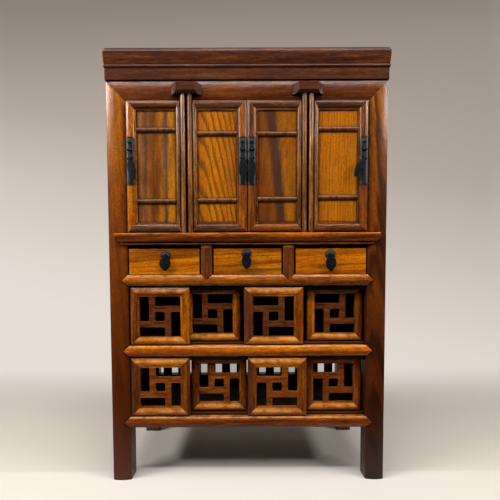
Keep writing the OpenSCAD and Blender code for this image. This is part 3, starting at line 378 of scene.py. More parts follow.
# Crown, frieze and top panel
# A crown of four mitred lengths with a rounded edge, a swelling face and a bead stands on four
# flat frieze boards. A plain panel, sunk a little, closes the top. All are stained darkest.
MOULDED_ARRIS = 0.35 * MM
for node, tones, seed, coat, rise in (
    ("crown_moulding", [(0.0, "#2c1106"), (0.5, "#4a2109"), (1.0, "#6a390f")], 21.0, 0.25, 1 * MM),
    ("frieze", [(0.0, "#3d1a07"), (0.5, "#562a0c"), (1.0, "#703f13")], 25.0, 0.4, 0),
):
    low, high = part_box(node)
    finish_wood(node, elm(
        "elm_" + node, tones, lines="#2a1208", seed=seed, heart=(low.z / MM - 25, 60),
        ring_depth=0.3, patina=0.3, wear=0.3, crease_dirt_and_shade=0.5, coat=coat,
        # Painted shade darkens their top and lower edges, under the crown's rounded edge and bead
        shade_and_grime_edges=[("Z", high.z), ("Z", low.z + rise)], shade_and_grime_mm=4,
    ), MOULDED_ARRIS)
low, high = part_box("top_panel")
finish_wood("top_panel", elm(
    "elm_top_panel", [(0.0, "#3a1c0d"), (0.5, "#4f2a14"), (1.0, "#63381c")], seed=29.0,
    heart=(low.z / MM + 20, 40), ring=5.5, gloss=0.45,
    # Painted shade darkens it near the sides, in its recess
    shade_and_grime_edges=[("X", low.x + 4 * MM), ("X", high.x - 4 * MM)], shade_and_grime_mm=6,
))


# Door sill
# A proud moulding under the doors: a round nose over a hollow and a small bead. Its ends return
# over the legs, and the doors' lower pintles turn in its top.
FINE_ARRIS = 0.3 * MM
low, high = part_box("door_sill")
finish_wood("door_sill", elm(
    "elm_door_sill", [(0.0, "#742c05"), (0.5, "#b25208"), (1.0, "#dc780e")], seed=31.0,
    heart=(low.z / MM - 20, 30), ring_depth=0.25,
    # A highlight is painted pale along its top and along its bead, with wear
    highlight_and_wear_edges=[("Z", high.z - 0.6 * MM), ("Z", low.z + 1.5 * MM)], highlight_and_wear_mm=1.1,
), FINE_ARRIS)


# Front rails
# Three crowned rails whose pointed ends are let into the legs. Their upper edges are painted
# pale, as a highlight and wear, and their lower edges darker, as shade.
for number, (node, tones) in enumerate({
    "drawer_rail": [(0.0, "#74300a"), (0.5, "#a8580d"), (1.0, "#d27c1c")],
    "middle_rail": [(0.0, "#803603"), (0.5, "#b25805"), (1.0, "#d8780a")],
    "bottom_rail": [(0.0, "#4c1c04"), (0.5, "#783606"), (1.0, "#9e4e08")],
}.items()):
    low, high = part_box(node)
    finish_wood(node, elm(
        "elm_" + node, tones, seed=37.0 + 3 * number, heart=(low.z / MM - 12 - 5 * number, 40),
        # Painted shade darkens each rail's lower edge, and a painted highlight with wear lightens
        # its upper one
        tilt=(1.5, 0.6), ring_depth=0.2, patina=0.3, shade_and_grime_edges=[("Z", low.z)],
        highlight_and_wear_edges=[("Z", high.z - 0.8 * MM)], highlight_and_wear_mm=2.2,
    ))


# Drawer dividers
# Two half-round uprights between the drawers. Each stands with a pointed foot in the rail.
low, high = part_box("drawer_dividers")
finish_wood("drawer_dividers", elm(
    "elm_drawer_dividers", [(0.0, "#4e240d"), (0.5, "#713a15"), (1.0, "#8a4e1c")], seed=47.0,
    # Its top end is painted pale, as a highlight and wear
    grain="Z", heart=(0, 60), ring_depth=0.2, highlight_and_wear_edges=[("Z", high.z - 3 * MM)],
))


# Sides
# Crowned rails at three levels hold thin panels in grooves, between the legs.
low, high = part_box("side_rails")
finish_wood("side_rails", elm(
    "elm_side_rails", [(0.0, "#4c2006"), (0.5, "#6e3608"), (1.0, "#8a4a0c")], seed=55.0, grain="Y",
    heart=(low.z / MM - 30, 70), tilt=(3, 4), ring_depth=0.3,
))
finish_wood("side_panels", elm(
    "elm_side_panels", [(0.0, "#5c2a05"), (0.5, "#844406"), (1.0, "#a45e0a")], seed=56.0,
    grain="Z", heart=(12, 150), tilt=(3, 4), ring=5.0,
))


# Back
# Plain framing with thin panels behind the drawers and cupboard, and upright slats behind the
# lower tier, which let the light through between them.
DARK_STAIN = [(0.0, "#3b1f0e"), (0.5, "#573015"), (1.0, "#6c3f1c")]
for node, grain, tones in (
    ("back_rails", "X", [(0.0, "#2e170b"), (0.5, "#452613"), (1.0, "#583319")]),
    ("back_panels", "X", [(0.0, "#2a150b"), (0.5, "#3f2311"), (1.0, "#533018")]),
    ("back_slats", "Z", DARK_STAIN),
):
    low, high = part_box(node)
    finish_wood(node, elm(
        "elm_" + node, tones, seed=57.0 + len(node), grain=grain,
        heart=(low.z / MM - 30 if grain == "X" else 10, 180), gloss=0.5, coat=0.1,
    ))


# Inside
# Floors, guides and tracks. Their faces are left from the plane, darkened by age and dust.
AGED_WOOD = [(0.0, "#5c4128"), (0.5, "#7a5836"), (1.0, "#8e6b45")]
for node, grain, tones in (
    ("tier_floors", "X", [(0.0, "#2f180b"), (0.5, "#472711"), (1.0, "#5a3418")]),
    ("panel_tracks", "X", DARK_STAIN),
    ("cupboard_floor", "X", AGED_WOOD),
    ("drawer_floor", "X", AGED_WOOD),
    ("drawer_guides", "Y", AGED_WOOD),
):
    finish_wood(node, elm(
        "elm_" + node, tones, lines="#2c1a0e", seed=63.0 + len(node), grain=grain, heart=(30, 90),
        gloss=0.6, coat=0.0,
    ))


# Doors
# Four small doors in pairs. Each has a mitred, crowned frame with a bead inside, and one stile is
# a turned post whose pintles turn in the sill and the pivot block. The sunk panel of figured elm
# carries two half-round bars.
STAINS = {
    "dark": ("#200e06", "#683a1d"),
    "purple": ("#2e130a", "#845030"),
    "chestnut": ("#34150a", "#7e421a"),
    "brown": ("#421a03", "#a4540c"),
    "golden": ("#4a2006", "#bc7a38"),
    "amber": ("#6a2a00", "#c46804"),
    "bright": ("#8c3c00", "#e28408"),
    "worn": ("#5a2608", "#e0923e"),
}
DOOR_STAINS = (
    ("chestnut", "purple", "golden", "bright"), ("purple", "purple", "amber", "golden"),
    ("purple", "brown", "golden", "brown"), ("dark", "brown", "brown", "golden"),
)
# Each panel's stains from left to right, its ring width and depth, and its heart and tilts
DOOR_PANELS = (
    ([(0.0, "#5a3c2a"), (0.1, "#9c6230"), (0.2, "#5c4030"), (0.3, "#94561a"), (0.42, "#6e3a0e"),
      (0.55, "#a45e0e"), (0.66, "#b0660c"), (0.7, "#5c4436"), (0.77, "#5c4436"), (0.82, "#cc7c06"),
      (1.0, "#c4780c")], 5.2, 0.3, 60, (2, 1)),
    ([(0.0, "#aa5e06"), (0.35, "#c87604"), (0.7, "#bc6a04"), (1.0, "#a85e08")], 2.3, 0.7, 26,
     (-4, 0)),
    ([(0.0, "#72380c"), (0.3, "#8a4a10"), (0.4, "#40291f"), (0.55, "#463026"), (0.66, "#aa6206"),
      (1.0, "#a05a08")], 5.0, 0.3, 70, (2, 2)),
    ([(0.0, "#ae6204"), (0.4, "#c27003"), (0.7, "#b46402"), (1.0, "#be7004")], 2.6, 0.3, 90,
     (1, 0.5)),
)
DOOR_FOOT = 1.5 * MM
DOOR_HEIGHT = 166 * MM
POST = 6.2 * MM
STILE = 12.8 * MM
RAIL = 12.3 * MM
BAR_FACE = 2.1 * MM
STRIPE_LEAN = 0.1
for door in range(1, 5):
    low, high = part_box(f"door_{door}_frame")
    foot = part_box("door_sill")[1].z + DOOR_FOOT
    head = foot + DOOR_HEIGHT
    # The post takes its width beside the frame, and the member next to it is as narrow
    if door % 2:
        left, right = low.x, high.x - POST
        left_in, right_in = left + STILE, right - POST
    else:
        left, right = low.x + POST, high.x
        left_in, right_in = left + POST, right - STILE
    foot_in, head_in = foot + RAIL, head - RAIL
    finish_wood(f"door_{door}_frame", elm(
        f"elm_door_{door}_frame", None, seed=70.0 + 6 * door, heart=(18, 40), ring_depth=0.2,
        members=((left, right, foot, head), (left_in, right_in, foot_in, head_in),
                 [STAINS[stain] for stain in DOOR_STAINS[door - 1]], None),
        patina=0.35, wear=0.9, coat=(0.5, 0.2, 0.2, 0.35)[door - 1],
    ), MOULDED_ARRIS)
    low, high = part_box(f"door_{door}_panel")
    tones, ring, depth, heart_behind, tilt = DOOR_PANELS[door - 1]
    heart_across = (left_in / MM - 30, left_in / MM - 22, 10, -60)[door - 1]
    lean = STRIPE_LEAN if door == 3 else 0.0
    shift = lean * (foot + head) / 2
    finish_wood(f"door_{door}_panel", elm(
        f"elm_door_{door}_panel", tones, lines="#53290c", seed=110.0 + 5 * door, grain="Z",
        heart=(heart_across, heart_behind), tilt=tilt, ring=ring, ring_depth=depth,
        across=("X", left_in + shift, right_in + shift), lean=lean,
        proud=("Y", low.y + BAR_FACE, ("#341406", "#844a18")),
        # Painted shade darkens the panel where it meets the frame
        shade_and_grime_edges=[("X", left_in), ("X", right_in), ("Z", foot_in), ("Z", head_in)], shade_and_grime_mm=2.2,
        wander=2.5 if door == 2 else 8.0, patina=(0.5, 0.12, 0.35, 0.12)[door - 1],
    ), FINE_ARRIS)


# Door pulls
# Each plate of thin black iron has rounded corners and an engraved border, and is bent to the
# stile's crown. A domed rivet, a lock staple and the pull's own staple hold it, and a leaf cut
# from sheet hangs on its rolled eye.
BLOW_MM = 3.0  # one blow of a small hammer
SCALE_MM = 1.2  # forge scale is finer, and is drawn as coarse as it needs to show


def forged_iron(name, tones):
    """Blackened wrought iron: hammer marks about 3 mm across under an oily, uneven black, whose
    tones run from the hollows to the rubbed places."""
    mat = bpy.data.materials.new(name)
    mat.use_nodes = True
    t = mat.node_tree
    t.nodes.clear()
    where = t.nodes.new("ShaderNodeTexCoord").outputs["Object"]
    blows = add(t, "TexVoronoi", {"Vector": where, "Scale": 1 / (BLOW_MM * MM), "Smoothness": 0.8},
                feature="SMOOTH_F1")
    scale = add(t, "TexNoise", {"Vector": where, "Scale": 1 / (SCALE_MM * MM), "Detail": 4})
    colour = add(t, "ValToRGB", {"Fac": scale}, stops=list(zip((0.35, 0.55, 0.72), tones)))
    rim = add(t, "AmbientOcclusion", {"Distance": 0.6 * MM}, samples=4, only_local=True,
              inside=True).node.outputs["AO"]
    rubbed = add(t, "MapRange", {"Value": rim, "From Min": 0.6, "From Max": 0.2, "To Max": 0.2})
    colour = add(t, "Mix", {0: rubbed, 6: colour, 7: linear("#868789")}, data_type="RGBA")
    rough = add(t, "MapRange", {"Value": scale, "From Min": 0.3, "From Max": 0.7,
                                "To Min": 0.44, "To Max": 0.62})
    height = add(t, "Math", {0: scale, 1: 0.3, 2: blows}, operation="MULTIPLY_ADD")
    normal = add(t, "Bump", {"Height": height, "Strength": 0.5, "Distance": 0.35 * MM})
    shader = add(t, "BsdfPrincipled", {"Base Color": colour, "Roughness": rough, "Normal": normal,
                                       "Metallic": 0.8})
    add(t, "OutputMaterial", {"Surface": shader})
    return mat


IRON = forged_iron("blackened_iron", ("#101111", "#242626", "#464848"))
LEAF_IRON = forged_iron("oiled_black_iron", ("#070707", "#131414", "#303232"))
WIRE = 1.8 * MM
BAR_STAND = 2.6 * MM
PLATE_T = 0.8 * MM


def start(name, make, **settings):
    """Adds a primitive at its size and place, all alone in the selection, and opens it."""
    bpy.ops.object.select_all(action="DESELECT")
    make(**settings)
    piece = bpy.context.object
    piece.name = name
    bpy.ops.object.transform_apply(location=True, rotation=True, scale=True)
    bpy.ops.object.mode_set(mode="EDIT")
    bpy.ops.mesh.select_mode(type="VERT")
    return piece


def choose(piece, test):
    """Selects the vertices of an open piece whose place passes the test."""
    bpy.ops.mesh.select_all(action="DESELECT")
    bpy.ops.object.mode_set(mode="OBJECT")
    for vertex in piece.data.vertices:
        vertex.select = test(vertex.co)
    bpy.ops.object.mode_set(mode="EDIT")


def finish_piece(piece, smooth=40, **modifiers):
    """Closes a piece, applies its modifiers in order and shades it smooth."""
    bpy.ops.object.mode_set(mode="OBJECT")
    for kind, settings in modifiers.items():
        modifier = piece.modifiers.new(kind, kind)
        for key, value in settings.items():
            setattr(modifier, key, value)
        bpy.ops.object.modifier_apply(modifier=modifier.name)
    bpy.ops.object.shade_smooth_by_angle(angle=math.radians(smooth))
    return piece


def joined(name, pieces):
    """Joins pieces into one, under one name."""
    bpy.ops.object.select_all(action="DESELECT")
    for piece in pieces:
        piece.select_set(True)
    bpy.context.view_layer.objects.active = pieces[0]
    bpy.ops.object.join()
    pieces[0].name = name
    return pieces[0]


def copy_at(piece, name, matrix):
    """A copy with its own mesh, its place in the mesh."""
    twin = bpy.data.objects.new(name, piece.data.copy())
    bpy.context.collection.objects.link(twin)
    twin.data.transform(matrix)
    return twin


def bent_staple(width, root):
    """A wire staple: its bar lies along X at the origin, its legs run back to y = root."""
    bend = 1.0 * MM
    staple = start("staple", bpy.ops.mesh.primitive_circle_add, radius=WIRE / 2, vertices=12,
                   location=(-width / 2, root, 0), rotation=(math.pi / 2, 0, 0), fill_type="NGON")
    bpy.ops.mesh.select_all(action="SELECT")
    bpy.ops.mesh.extrude_region_move(TRANSFORM_OT_translate={"value": (0, bend - root, 0)})
    quarter = {"steps": 5, "angle": math.pi / 2, "axis": (0, 0, 1)}
    bpy.ops.mesh.spin(center=(bend - width / 2, bend, 0), **quarter)
    bpy.ops.mesh.extrude_region_move(TRANSFORM_OT_translate={"value": (width - 2 * bend, 0, 0)})
    bpy.ops.mesh.spin(center=(width / 2 - bend, bend, 0), **quarter)
    bpy.ops.mesh.extrude_region_move(TRANSFORM_OT_translate={"value": (0, root - bend, 0)})
    bpy.ops.mesh.select_all(action="SELECT")
    bpy.ops.mesh.remove_doubles(threshold=TOUCHING)
    bpy.ops.mesh.normals_make_consistent(inside=False)
    return finish_piece(staple, 60)


STAPLE_W = 6 * MM
pull_staple = bent_staple(STAPLE_W, BAR_STAND + 0.3 * MM)

# The plate is cut out flat, engraved, and bent round the stile
PLATE_W, PLATE_H = 10.2 * MM, 60 * MM
STILE_R = 8.41 * MM
BEND_STEP = 1.05 * MM  # between the upright cuts that let it bend
# Width and rise in mm of each step of its engraved border, from the rim inwards
BORDER = ((0.9, 0), (0.25, -0.22), (0.3, 0), (0.25, 0.22))
plate = start("plate", bpy.ops.mesh.primitive_plane_add, size=1, rotation=(math.pi / 2, 0, 0))
bpy.ops.mesh.select_all(action="SELECT")
bpy.ops.transform.resize(value=(PLATE_W, 1, PLATE_H), center_override=(0, 0, 0))
bpy.ops.mesh.bevel(offset=2 * MM, offset_type="WIDTH", segments=4, affect="VERTICES")
bpy.ops.mesh.select_all(action="SELECT")
for width, rise in BORDER:
    bpy.ops.mesh.inset(thickness=width * MM, depth=rise * MM)
for line in range(-4, 5):
    bpy.ops.mesh.select_all(action="SELECT")
    bpy.ops.mesh.bisect(plane_co=(line * BEND_STEP, 0, 0), plane_no=(1, 0, 0))
bpy.ops.object.mode_set(mode="OBJECT")
for vertex in plate.data.vertices:
    vertex.co.y += STILE_R + PLATE_T - math.sqrt((STILE_R + PLATE_T) ** 2 - vertex.co.x ** 2)
finish_piece(plate, 30, SOLIDIFY={"thickness": PLATE_T, "offset": -1})

# The rivet's head is the cap of a ball, sunk a little into the plate
RIVET_R = 4.0 * MM
RIVET_RISE = 24 * MM
RIVET_SUNK = 0.4 * MM
rivet = start("rivet", bpy.ops.mesh.primitive_uv_sphere_add, segments=24, ring_count=14,
              radius=RIVET_R, location=(0, RIVET_SUNK + RIVET_R / 2, RIVET_RISE),
              rotation=(math.pi / 2, 0, 0))
bpy.ops.mesh.select_all(action="SELECT")
bpy.ops.mesh.bisect(plane_co=(0, RIVET_SUNK, 0), plane_no=(0, 1, 0), clear_outer=True,
                    use_fill=True)
finish_piece(rivet, 50)


# A leaf is cut from 0.85 mm sheet, its top rolled into an eye round the bar, its middle dished
# forward to a soft rib
SHEET_T = 0.85 * MM
EYE_R = 1.8 * MM
NECK = 3.2 * MM
TIP = 1.4 * MM
ROLL_R = EYE_R - SHEET_T / 2


def leaf_half_width(width, length, drop):
    """Half width of a leaf at a height below its bar."""
    share = (drop - EYE_R) / (length - EYE_R)
    if share <= 0:
        return NECK / 2
    if share < 0.4:
        return NECK / 2 + (width - NECK) / 2 * math.sin(math.pi / 2 * share / 0.4)
    return TIP / 2 + (width - TIP) / 2 * math.cos(math.pi / 2 * ((share - 0.4) / 0.6) ** 1.25)


def iron_leaf(name, width, length):
    """A leaf pendant that hangs from the X axis."""
    leaf = start(name, bpy.ops.mesh.primitive_grid_add, x_subdivisions=8, y_subdivisions=16, size=1,
                 rotation=(math.pi / 2, 0, 0))
    bpy.ops.object.mode_set(mode="OBJECT")
    for vertex in leaf.data.vertices:
        across, drop = 2 * vertex.co.x, (0.5 - vertex.co.z) * length
        half = leaf_half_width(width, length, drop)
        body = min(1, drop / (4 * EYE_R))
        rib = 0.5 * MM * (1 - abs(across)) ** 1.3 - 0.25 * MM * across ** 4
        vertex.co = (across * half, -ROLL_R + body * (0.55 * MM - rib), -drop)
    bpy.ops.object.mode_set(mode="EDIT")
    choose(leaf, lambda co: co.z > -TOUCHING)
    bpy.ops.mesh.spin(steps=12, angle=math.radians(320), center=(0, 0, 0), axis=(1, 0, 0))
    bpy.ops.mesh.select_all(action="SELECT")
    bpy.ops.mesh.remove_doubles(threshold=TOUCHING)
    bpy.ops.mesh.normals_make_consistent(inside=False)
    finish_piece(leaf, 50, SOLIDIFY={"thickness": SHEET_T, "offset": 0},
                 BEVEL={"width": 0.15 * MM, "segments": 2, "angle_limit": math.radians(50)})
    return leaf


LEAF_W, LEAF_H = 10.4 * MM, 27.5 * MM
# The leaves of the first and last doors hang askew, by so many degrees
LEAF_TURNS = (-12, 0, 0, 29)
PLATE_DROP = 2.6 * MM
LOCK_RISE = 10.9 * MM
door_leaf = iron_leaf("leaf", LEAF_W, LEAF_H)
pivots = {joint["name"]: Vector(joint["pos_m"]) for joint in frame["record"]["behaviour"]["joints"]
          if "pos_m" in joint}
for door, turn in enumerate(LEAF_TURNS, 1):
    pivot = pivots[f"door_{door}_leaf_swing"]
    middle = Matrix.Translation(pivot + Vector((0, BAR_STAND, -PLATE_DROP)))
    lock = Matrix.Translation(pivot + Vector((0, 0, LOCK_RISE)))
    askew = Matrix.Rotation(math.radians(turn), 4, "Y")
    whole = joined(f"door_{door}_iron_plate", [
        copy_at(plate, "plate_copy", middle), copy_at(rivet, "rivet_copy", middle),
        copy_at(pull_staple, "lock_copy", lock),
        copy_at(pull_staple, "staple_copy", Matrix.Translation(pivot) @ askew),
    ])
    leaf = copy_at(door_leaf, f"door_{door}_iron_leaf", Matrix.Translation(pivot) @ askew)
    for piece, node, body in ((whole, f"door_{door}_pull_plate", f"door_{door}"),
                              (leaf, f"door_{door}_pendant", f"door_{door}_leaf")):
        piece.data.materials.append(LEAF_IRON if piece == leaf else IRON)
        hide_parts(node)
        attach(piece, body)


# Drawers
# Three plain fronts of bright orange elm with the grain running across, and boxes of bare
# softwood behind them.
BRIGHT_ELM = [(0.0, "#ac5602"), (0.5, "#ce6e02"), (1.0, "#e48a06")]
GOLDEN_ELM = [(0.0, "#a04e04"), (0.5, "#c26c04"), (1.0, "#d88408")]
THIN_ARRIS = 0.4 * MM
# Stain, heart above the foot and behind, tilt, ring width and depth
for drawer, (tones, rise, behind, tilt, ring, depth) in enumerate((
    (BRIGHT_ELM, 8, 10, 2.5, 9, 0.7),
    (GOLDEN_ELM, -20, 40, 0.8, 2.6, 0.5),
    (BRIGHT_ELM, -14, 40, 0.8, 2.8, 0.45),
), 1):
    low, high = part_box(f"drawer_{drawer}_front")
    finish_wood(f"drawer_{drawer}_front", elm(
        f"elm_drawer_{drawer}_front", tones, lines="#4a2006", seed=180.0 + 9 * drawer,
        heart=(low.z / MM + rise, behind), tilt=(1, tilt), ring=ring, ring_depth=depth,
        patina=0.1, wear=0.4,
    ), THIN_ARRIS)
    finish_wood(f"drawer_{drawer}_box", elm(
        f"softwood_drawer_{drawer}_box", [(0.0, "#80603c"), (0.5, "#9a7850"), (1.0, "#ab8a60")],
        lines="#6a4a2c", seed=200.0 + drawer, grain="Y", heart=(30, 90), gloss=0.6, coat=0.0,
    ), THIN_ARRIS)


# Drawer pulls
# A domed iron rose with a raised rim is nailed to each front. Its staple carries a short leaf.
ROSE_R = 6.3 * MM
ROSE_STAND = 1.65 * MM
# Width and rise in mm of each of its rings, from the rim inwards
ROSE_RINGS = ((0.1, 0.55), (0.35, 0.2), (0.35, 0.0), (0.35, -0.25), (1.1, 0.75), (1.4, 0.6),
              (1.3, 0.3), (0.9, 0.1))
# Width and length of each drawer's leaf
DRAWER_LEAVES = ((14.8 * MM, 20 * MM), (13 * MM, 20 * MM), (13.8 * MM, 22.5 * MM))
rose = start("rose", bpy.ops.mesh.primitive_circle_add, radius=ROSE_R, vertices=40,
             fill_type="TRIFAN", rotation=(math.pi / 2, 0, 0))
bpy.ops.mesh.select_all(action="SELECT")
for width, rise in ROSE_RINGS:
    bpy.ops.mesh.inset(thickness=width * MM, depth=rise * MM)
finish_piece(rose, 35, SOLIDIFY={"thickness": 0.5 * MM, "offset": -1})
for drawer, (width, length) in enumerate(DRAWER_LEAVES, 1):
    pivot = pivots[f"drawer_{drawer}_leaf_swing"]
    behind = Matrix.Translation(pivot + Vector((0, BAR_STAND + ROSE_STAND, 0)))
    hung = Matrix.Translation(pivot)
    whole = joined(f"drawer_{drawer}_iron_rose", [
        copy_at(rose, "rose_copy", behind), copy_at(pull_staple, "staple_copy", hung),
    ])
    shape = iron_leaf(f"drawer_{drawer}_iron_leaf", width, length)
    shape.data.transform(hung)
    for piece, node, body in ((whole, f"drawer_{drawer}_rose", f"drawer_{drawer}"),
                              (shape, f"drawer_{drawer}_pendant", f"drawer_{drawer}_leaf")):
        piece.data.materials.append(LEAF_IRON if piece == shape else IRON)
        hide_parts(node)
        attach(piece, body)
for pattern in (plate, rivet, pull_staple, door_leaf, rose):
    bpy.data.objects.remove(pattern)


# Sliding panels
# Eight mitred frames in two tiers, each round a sawn pinwheel fret. Odd ones run in the front
# track, even ones behind them. Fingers have rubbed the frets and the frames' edges. A highlight
# is painted along each frame's head and foot, and shade along its outer edges.
PANEL_STAINS = {
    "upper": (("brown", "bright", "bright", "brown"), ("worn", "bright", "amber", "amber"),
              ("bright", "bright", "amber", "chestnut"), ("worn", "bright", "brown", "bright")),
    "lower": (("bright", "amber", "brown", "chestnut"), ("brown", "bright", "brown", "brown"),
              ("bright", "amber", "brown", "chestnut"), ("amber", "bright", "brown", "brown")),
}
FRET_STAIN = {"upper": ("#3a190a", "#84461f"), "lower": ("#56240a", "#a45614")}
MEMBER = 12 * MM
HALF_FRET = 26.5 * MM
# How far the tongues in the tracks reach below and above the frame, front and rear
TONGUES = {"front": (2.7 * MM, 4.7 * MM), "rear": (1.9 * MM, 2.9 * MM)}
low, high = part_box("upper_panel_1")
half_width = (high.x - low.x) / 2 - MEMBER
for tier in ("upper", "lower"):
    for number in range(1, 5):
        node = f"{tier}_panel_{number}"
        low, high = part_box(node)
        track = "front" if number % 2 else "rear"
        below, above = TONGUES[track]
        foot, head = low.z + below, high.z - above
        middle, centre = (low.x + high.x) / 2, (foot + head) / 2
        outer = (low.x, high.x, foot, head)
        inner = (middle - half_width, middle + half_width, centre - HALF_FRET, centre + HALF_FRET)
        finish_wood(node, elm(
            "elm_" + node, None, seed=140.0 + 7 * number + (40 if tier == "upper" else 0),
            heart=(18, 40), ring_depth=0.2,
            members=(outer, inner, [STAINS[stain] for stain in PANEL_STAINS[tier][number - 1]],
                     FRET_STAIN[tier]),
            # A highlight is painted across the head and foot, and shade along the outer edges
            highlight_and_wear_edges=[("Z", head - 4.2 * MM), ("Z", foot + 7.5 * MM)], highlight_and_wear_mm=4.2,
            highlight_and_wear_colour="#e49c58", shade_and_grime_edges=list(zip("XXZZ", outer)), shade_and_grime_mm=2.0, patina=0.3,
            wear=0.35, crease_dirt_and_shade=0.95 if track == "front" else 0.6,
        ), THIN_ARRIS)


# Stage
# A pale floor that sweeps up into a warm grey backdrop and side walls, darker towards the top and
# right. The backdrop shows its own colour to the camera, while the floor keeps the cabinet's
# shadow. A soft shadow is painted on the backdrop behind the cabinet, and the floor under it is
# painted a shade darker. The room in front is dark, which leaves the wood's colours deep.
WALL_Y = 1.1
SWEEP_R = 0.5
STUDIO = (24, 3.3, 14)
PAINTED_SHADOW_LINE = -72 * MM
sweep_paint = bpy.data.materials.new("painted_sweep")
sweep_paint.use_nodes = True
t = sweep_paint.node_tree
t.nodes.clear()
where = t.nodes.new("ShaderNodeTexCoord").outputs["Object"]
x, y, z = add(t, "SeparateXYZ", {0: where}).node.outputs
# Away from the middle its shades follow the height as seen from the cabinet
aside = add(t, "Math", {0: x}, operation="ABSOLUTE")
reach = add(t, "Math", {0: aside, 1: 1.0}, operation="MAXIMUM")
level = add(t, "Math", {0: z, 1: reach}, operation="DIVIDE")
bearing = add(t, "Math", {0: x, 1: reach}, operation="DIVIDE")
slope = add(t, "MapRange", {"Value": level, "From Min": 0.7, "From Max": 1.25,
                            "To Min": 0.22, "To Max": -0.02})
slanted = add(t, "Math", {0: bearing, 1: slope, 2: level}, operation="MULTIPLY_ADD")
share = add(t, "MapRange", {"Value": slanted, "From Min": 0.0, "From Max": 1.4})
wall = add(t, "ValToRGB", {"Fac": share}, stops=[
    (0.0, "#e6ded5"), (0.12, "#e0d7cd"), (0.34, "#cec4ba"), (0.62, "#b3a89d"), (0.9, "#998f84"),
    (1.0, "#8c8379"),
])
# Behind a soft line under the front legs the floor is painted a shade darker, as the cabinet's
# shadow
in_painted_shadow = add(t, "MapRange", {"Value": y, "From Min": PAINTED_SHADOW_LINE - 2 * MM,
                             "From Max": PAINTED_SHADOW_LINE + 2 * MM})
ground = add(t, "Mix", {0: in_painted_shadow, 6: linear("#cdc5bc"), 7: linear("#c4bcb2")}, data_type="RGBA")
# The camera sees a pale floor in front too. To every other ray it is dark, like the room
rays = t.nodes.new("ShaderNodeLightPath").outputs
unlit = add(t, "MapRange", {"Value": y, "From Min": -0.12, "From Max": -0.3})
unlit = add(t, "Math", {0: unlit, 1: rays["Is Camera Ray"]}, operation="SUBTRACT", use_clamp=True)
ground = add(t, "Mix", {0: unlit, 6: ground, 7: linear("#0c0b0a")}, data_type="RGBA")
paint = add(t, "BsdfPrincipled", {"Base Color": ground, "Roughness": 0.9,
                                  "Specular IOR Level": 0.1})
# A soft shadow of the cabinet is painted on the backdrop behind it
middle = add(t, "MapRange", {"Value": aside, "From Min": 0.35, "From Max": 0.15},
             interpolation_type="SMOOTHSTEP")
shade = add(t, "MapRange", {"Value": z, "From Min": 0.25, "From Max": 0.0, "To Max": 0.6})
shade = add(t, "Math", {0: shade, 1: middle}, operation="MULTIPLY")
wall = add(t, "Mix", {0: shade, 6: wall, 7: linear("#6a6560")}, data_type="RGBA")
# Well behind the cabinet and well beside it the backdrop shows its own colour. Nearer, the
# lamps light the floor
lit = add(t, "Emission", {"Color": wall})
seen = add(t, "Math", {0: rays["Is Camera Ray"], 1: rays["Is Glossy Ray"]}, operation="ADD")
seen = add(t, "Math", {0: seen, 1: rays["Is Transmission Ray"]}, operation="ADD", use_clamp=True)
far = add(t, "MapRange", {"Value": y, "From Min": 0.15, "From Max": 0.6},
          interpolation_type="SMOOTHSTEP")
beside = add(t, "MapRange", {"Value": aside, "From Min": 0.9, "From Max": 2.4},
             interpolation_type="SMOOTHSTEP")
far = add(t, "Math", {0: far, 1: beside}, operation="MAXIMUM")
shown = add(t, "Math", {0: seen, 1: far}, operation="MULTIPLY")
mixed = add(t, "MixShader", {0: shown, 1: paint, 2: lit})
add(t, "OutputMaterial", {"Surface": mixed})

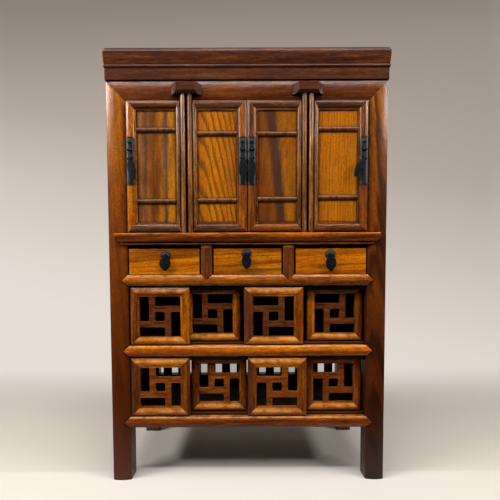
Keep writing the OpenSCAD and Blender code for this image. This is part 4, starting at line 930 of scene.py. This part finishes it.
bpy.ops.object.select_all(action="DESELECT")
bpy.ops.mesh.primitive_cube_add(size=1)
sweep = bpy.context.object
sweep.name = "backdrop"
sweep.scale = STUDIO
sweep.location = (0, WALL_Y - STUDIO[1] / 2, STUDIO[2] / 2)
bpy.ops.object.transform_apply(location=True, rotation=True, scale=True)
bpy.ops.object.mode_set(mode="EDIT")
bpy.ops.mesh.select_mode(type="FACE")
bpy.ops.mesh.select_all(action="DESELECT")
bpy.ops.object.mode_set(mode="OBJECT")
for face in sweep.data.polygons:
    face.select = face.normal.z > 0.5 or face.normal.y < -0.5
bpy.ops.object.mode_set(mode="EDIT")
bpy.ops.mesh.delete(type="FACE")
bpy.ops.mesh.select_mode(type="EDGE")
bpy.ops.mesh.select_all(action="DESELECT")
bpy.ops.mesh.select_non_manifold()
bpy.ops.mesh.select_all(action="INVERT")
bpy.ops.mesh.bevel(offset=SWEEP_R, segments=12, affect="EDGES")
bpy.ops.mesh.select_all(action="SELECT")
bpy.ops.mesh.flip_normals()
bpy.ops.object.mode_set(mode="OBJECT")
bpy.ops.object.shade_smooth()
sweep.data.materials.append(sweep_paint)


# Light
# Strip lights at the upper left and right, whose narrow reflections run down the stiles and
# posts, a long one high above the front, which models the rails and mouldings, and a softbox
# overhead. A faint grey world fills the shadows.
def soft_light(name, place, target, size, power):
    """A rectangular area light at place, turned towards target."""
    bpy.ops.object.light_add(type="AREA", location=place)
    lamp = bpy.context.object
    lamp.name = name
    lamp.rotation_euler = (Vector(target) - Vector(place)).to_track_quat("-Z", "Y").to_euler()
    lamp.data.shape = "RECTANGLE"
    lamp.data.size, lamp.data.size_y = size
    lamp.data.energy = power


soft_light("left_light", (-1.05, -0.62, 0.95), (0, -0.05, 0.35), (0.6, 0.08), 16)
soft_light("right_light", (1.05, -0.62, 0.92), (0, -0.05, 0.35), (0.6, 0.08), 10)
soft_light("brow_light", (0.0, -0.75, 1.4), (0, -0.05, 0.3), (1.2, 0.14), 14)
soft_light("top_light", (0.0, -0.3, 1.5), (0, -0.02, 0.2), (1.3, 0.3), 6)
world = bpy.data.worlds.new("studio")
bpy.context.scene.world = world
world.use_nodes = True
sky = world.node_tree.nodes["Background"]
sky.inputs["Color"].default_value = linear("#e8e4e0")
sky.inputs["Strength"].default_value = 0.07
bpy.context.scene.view_settings.view_transform = "Standard"


# Update
# The view layer is brought up to date.
bpy.context.view_layer.update()
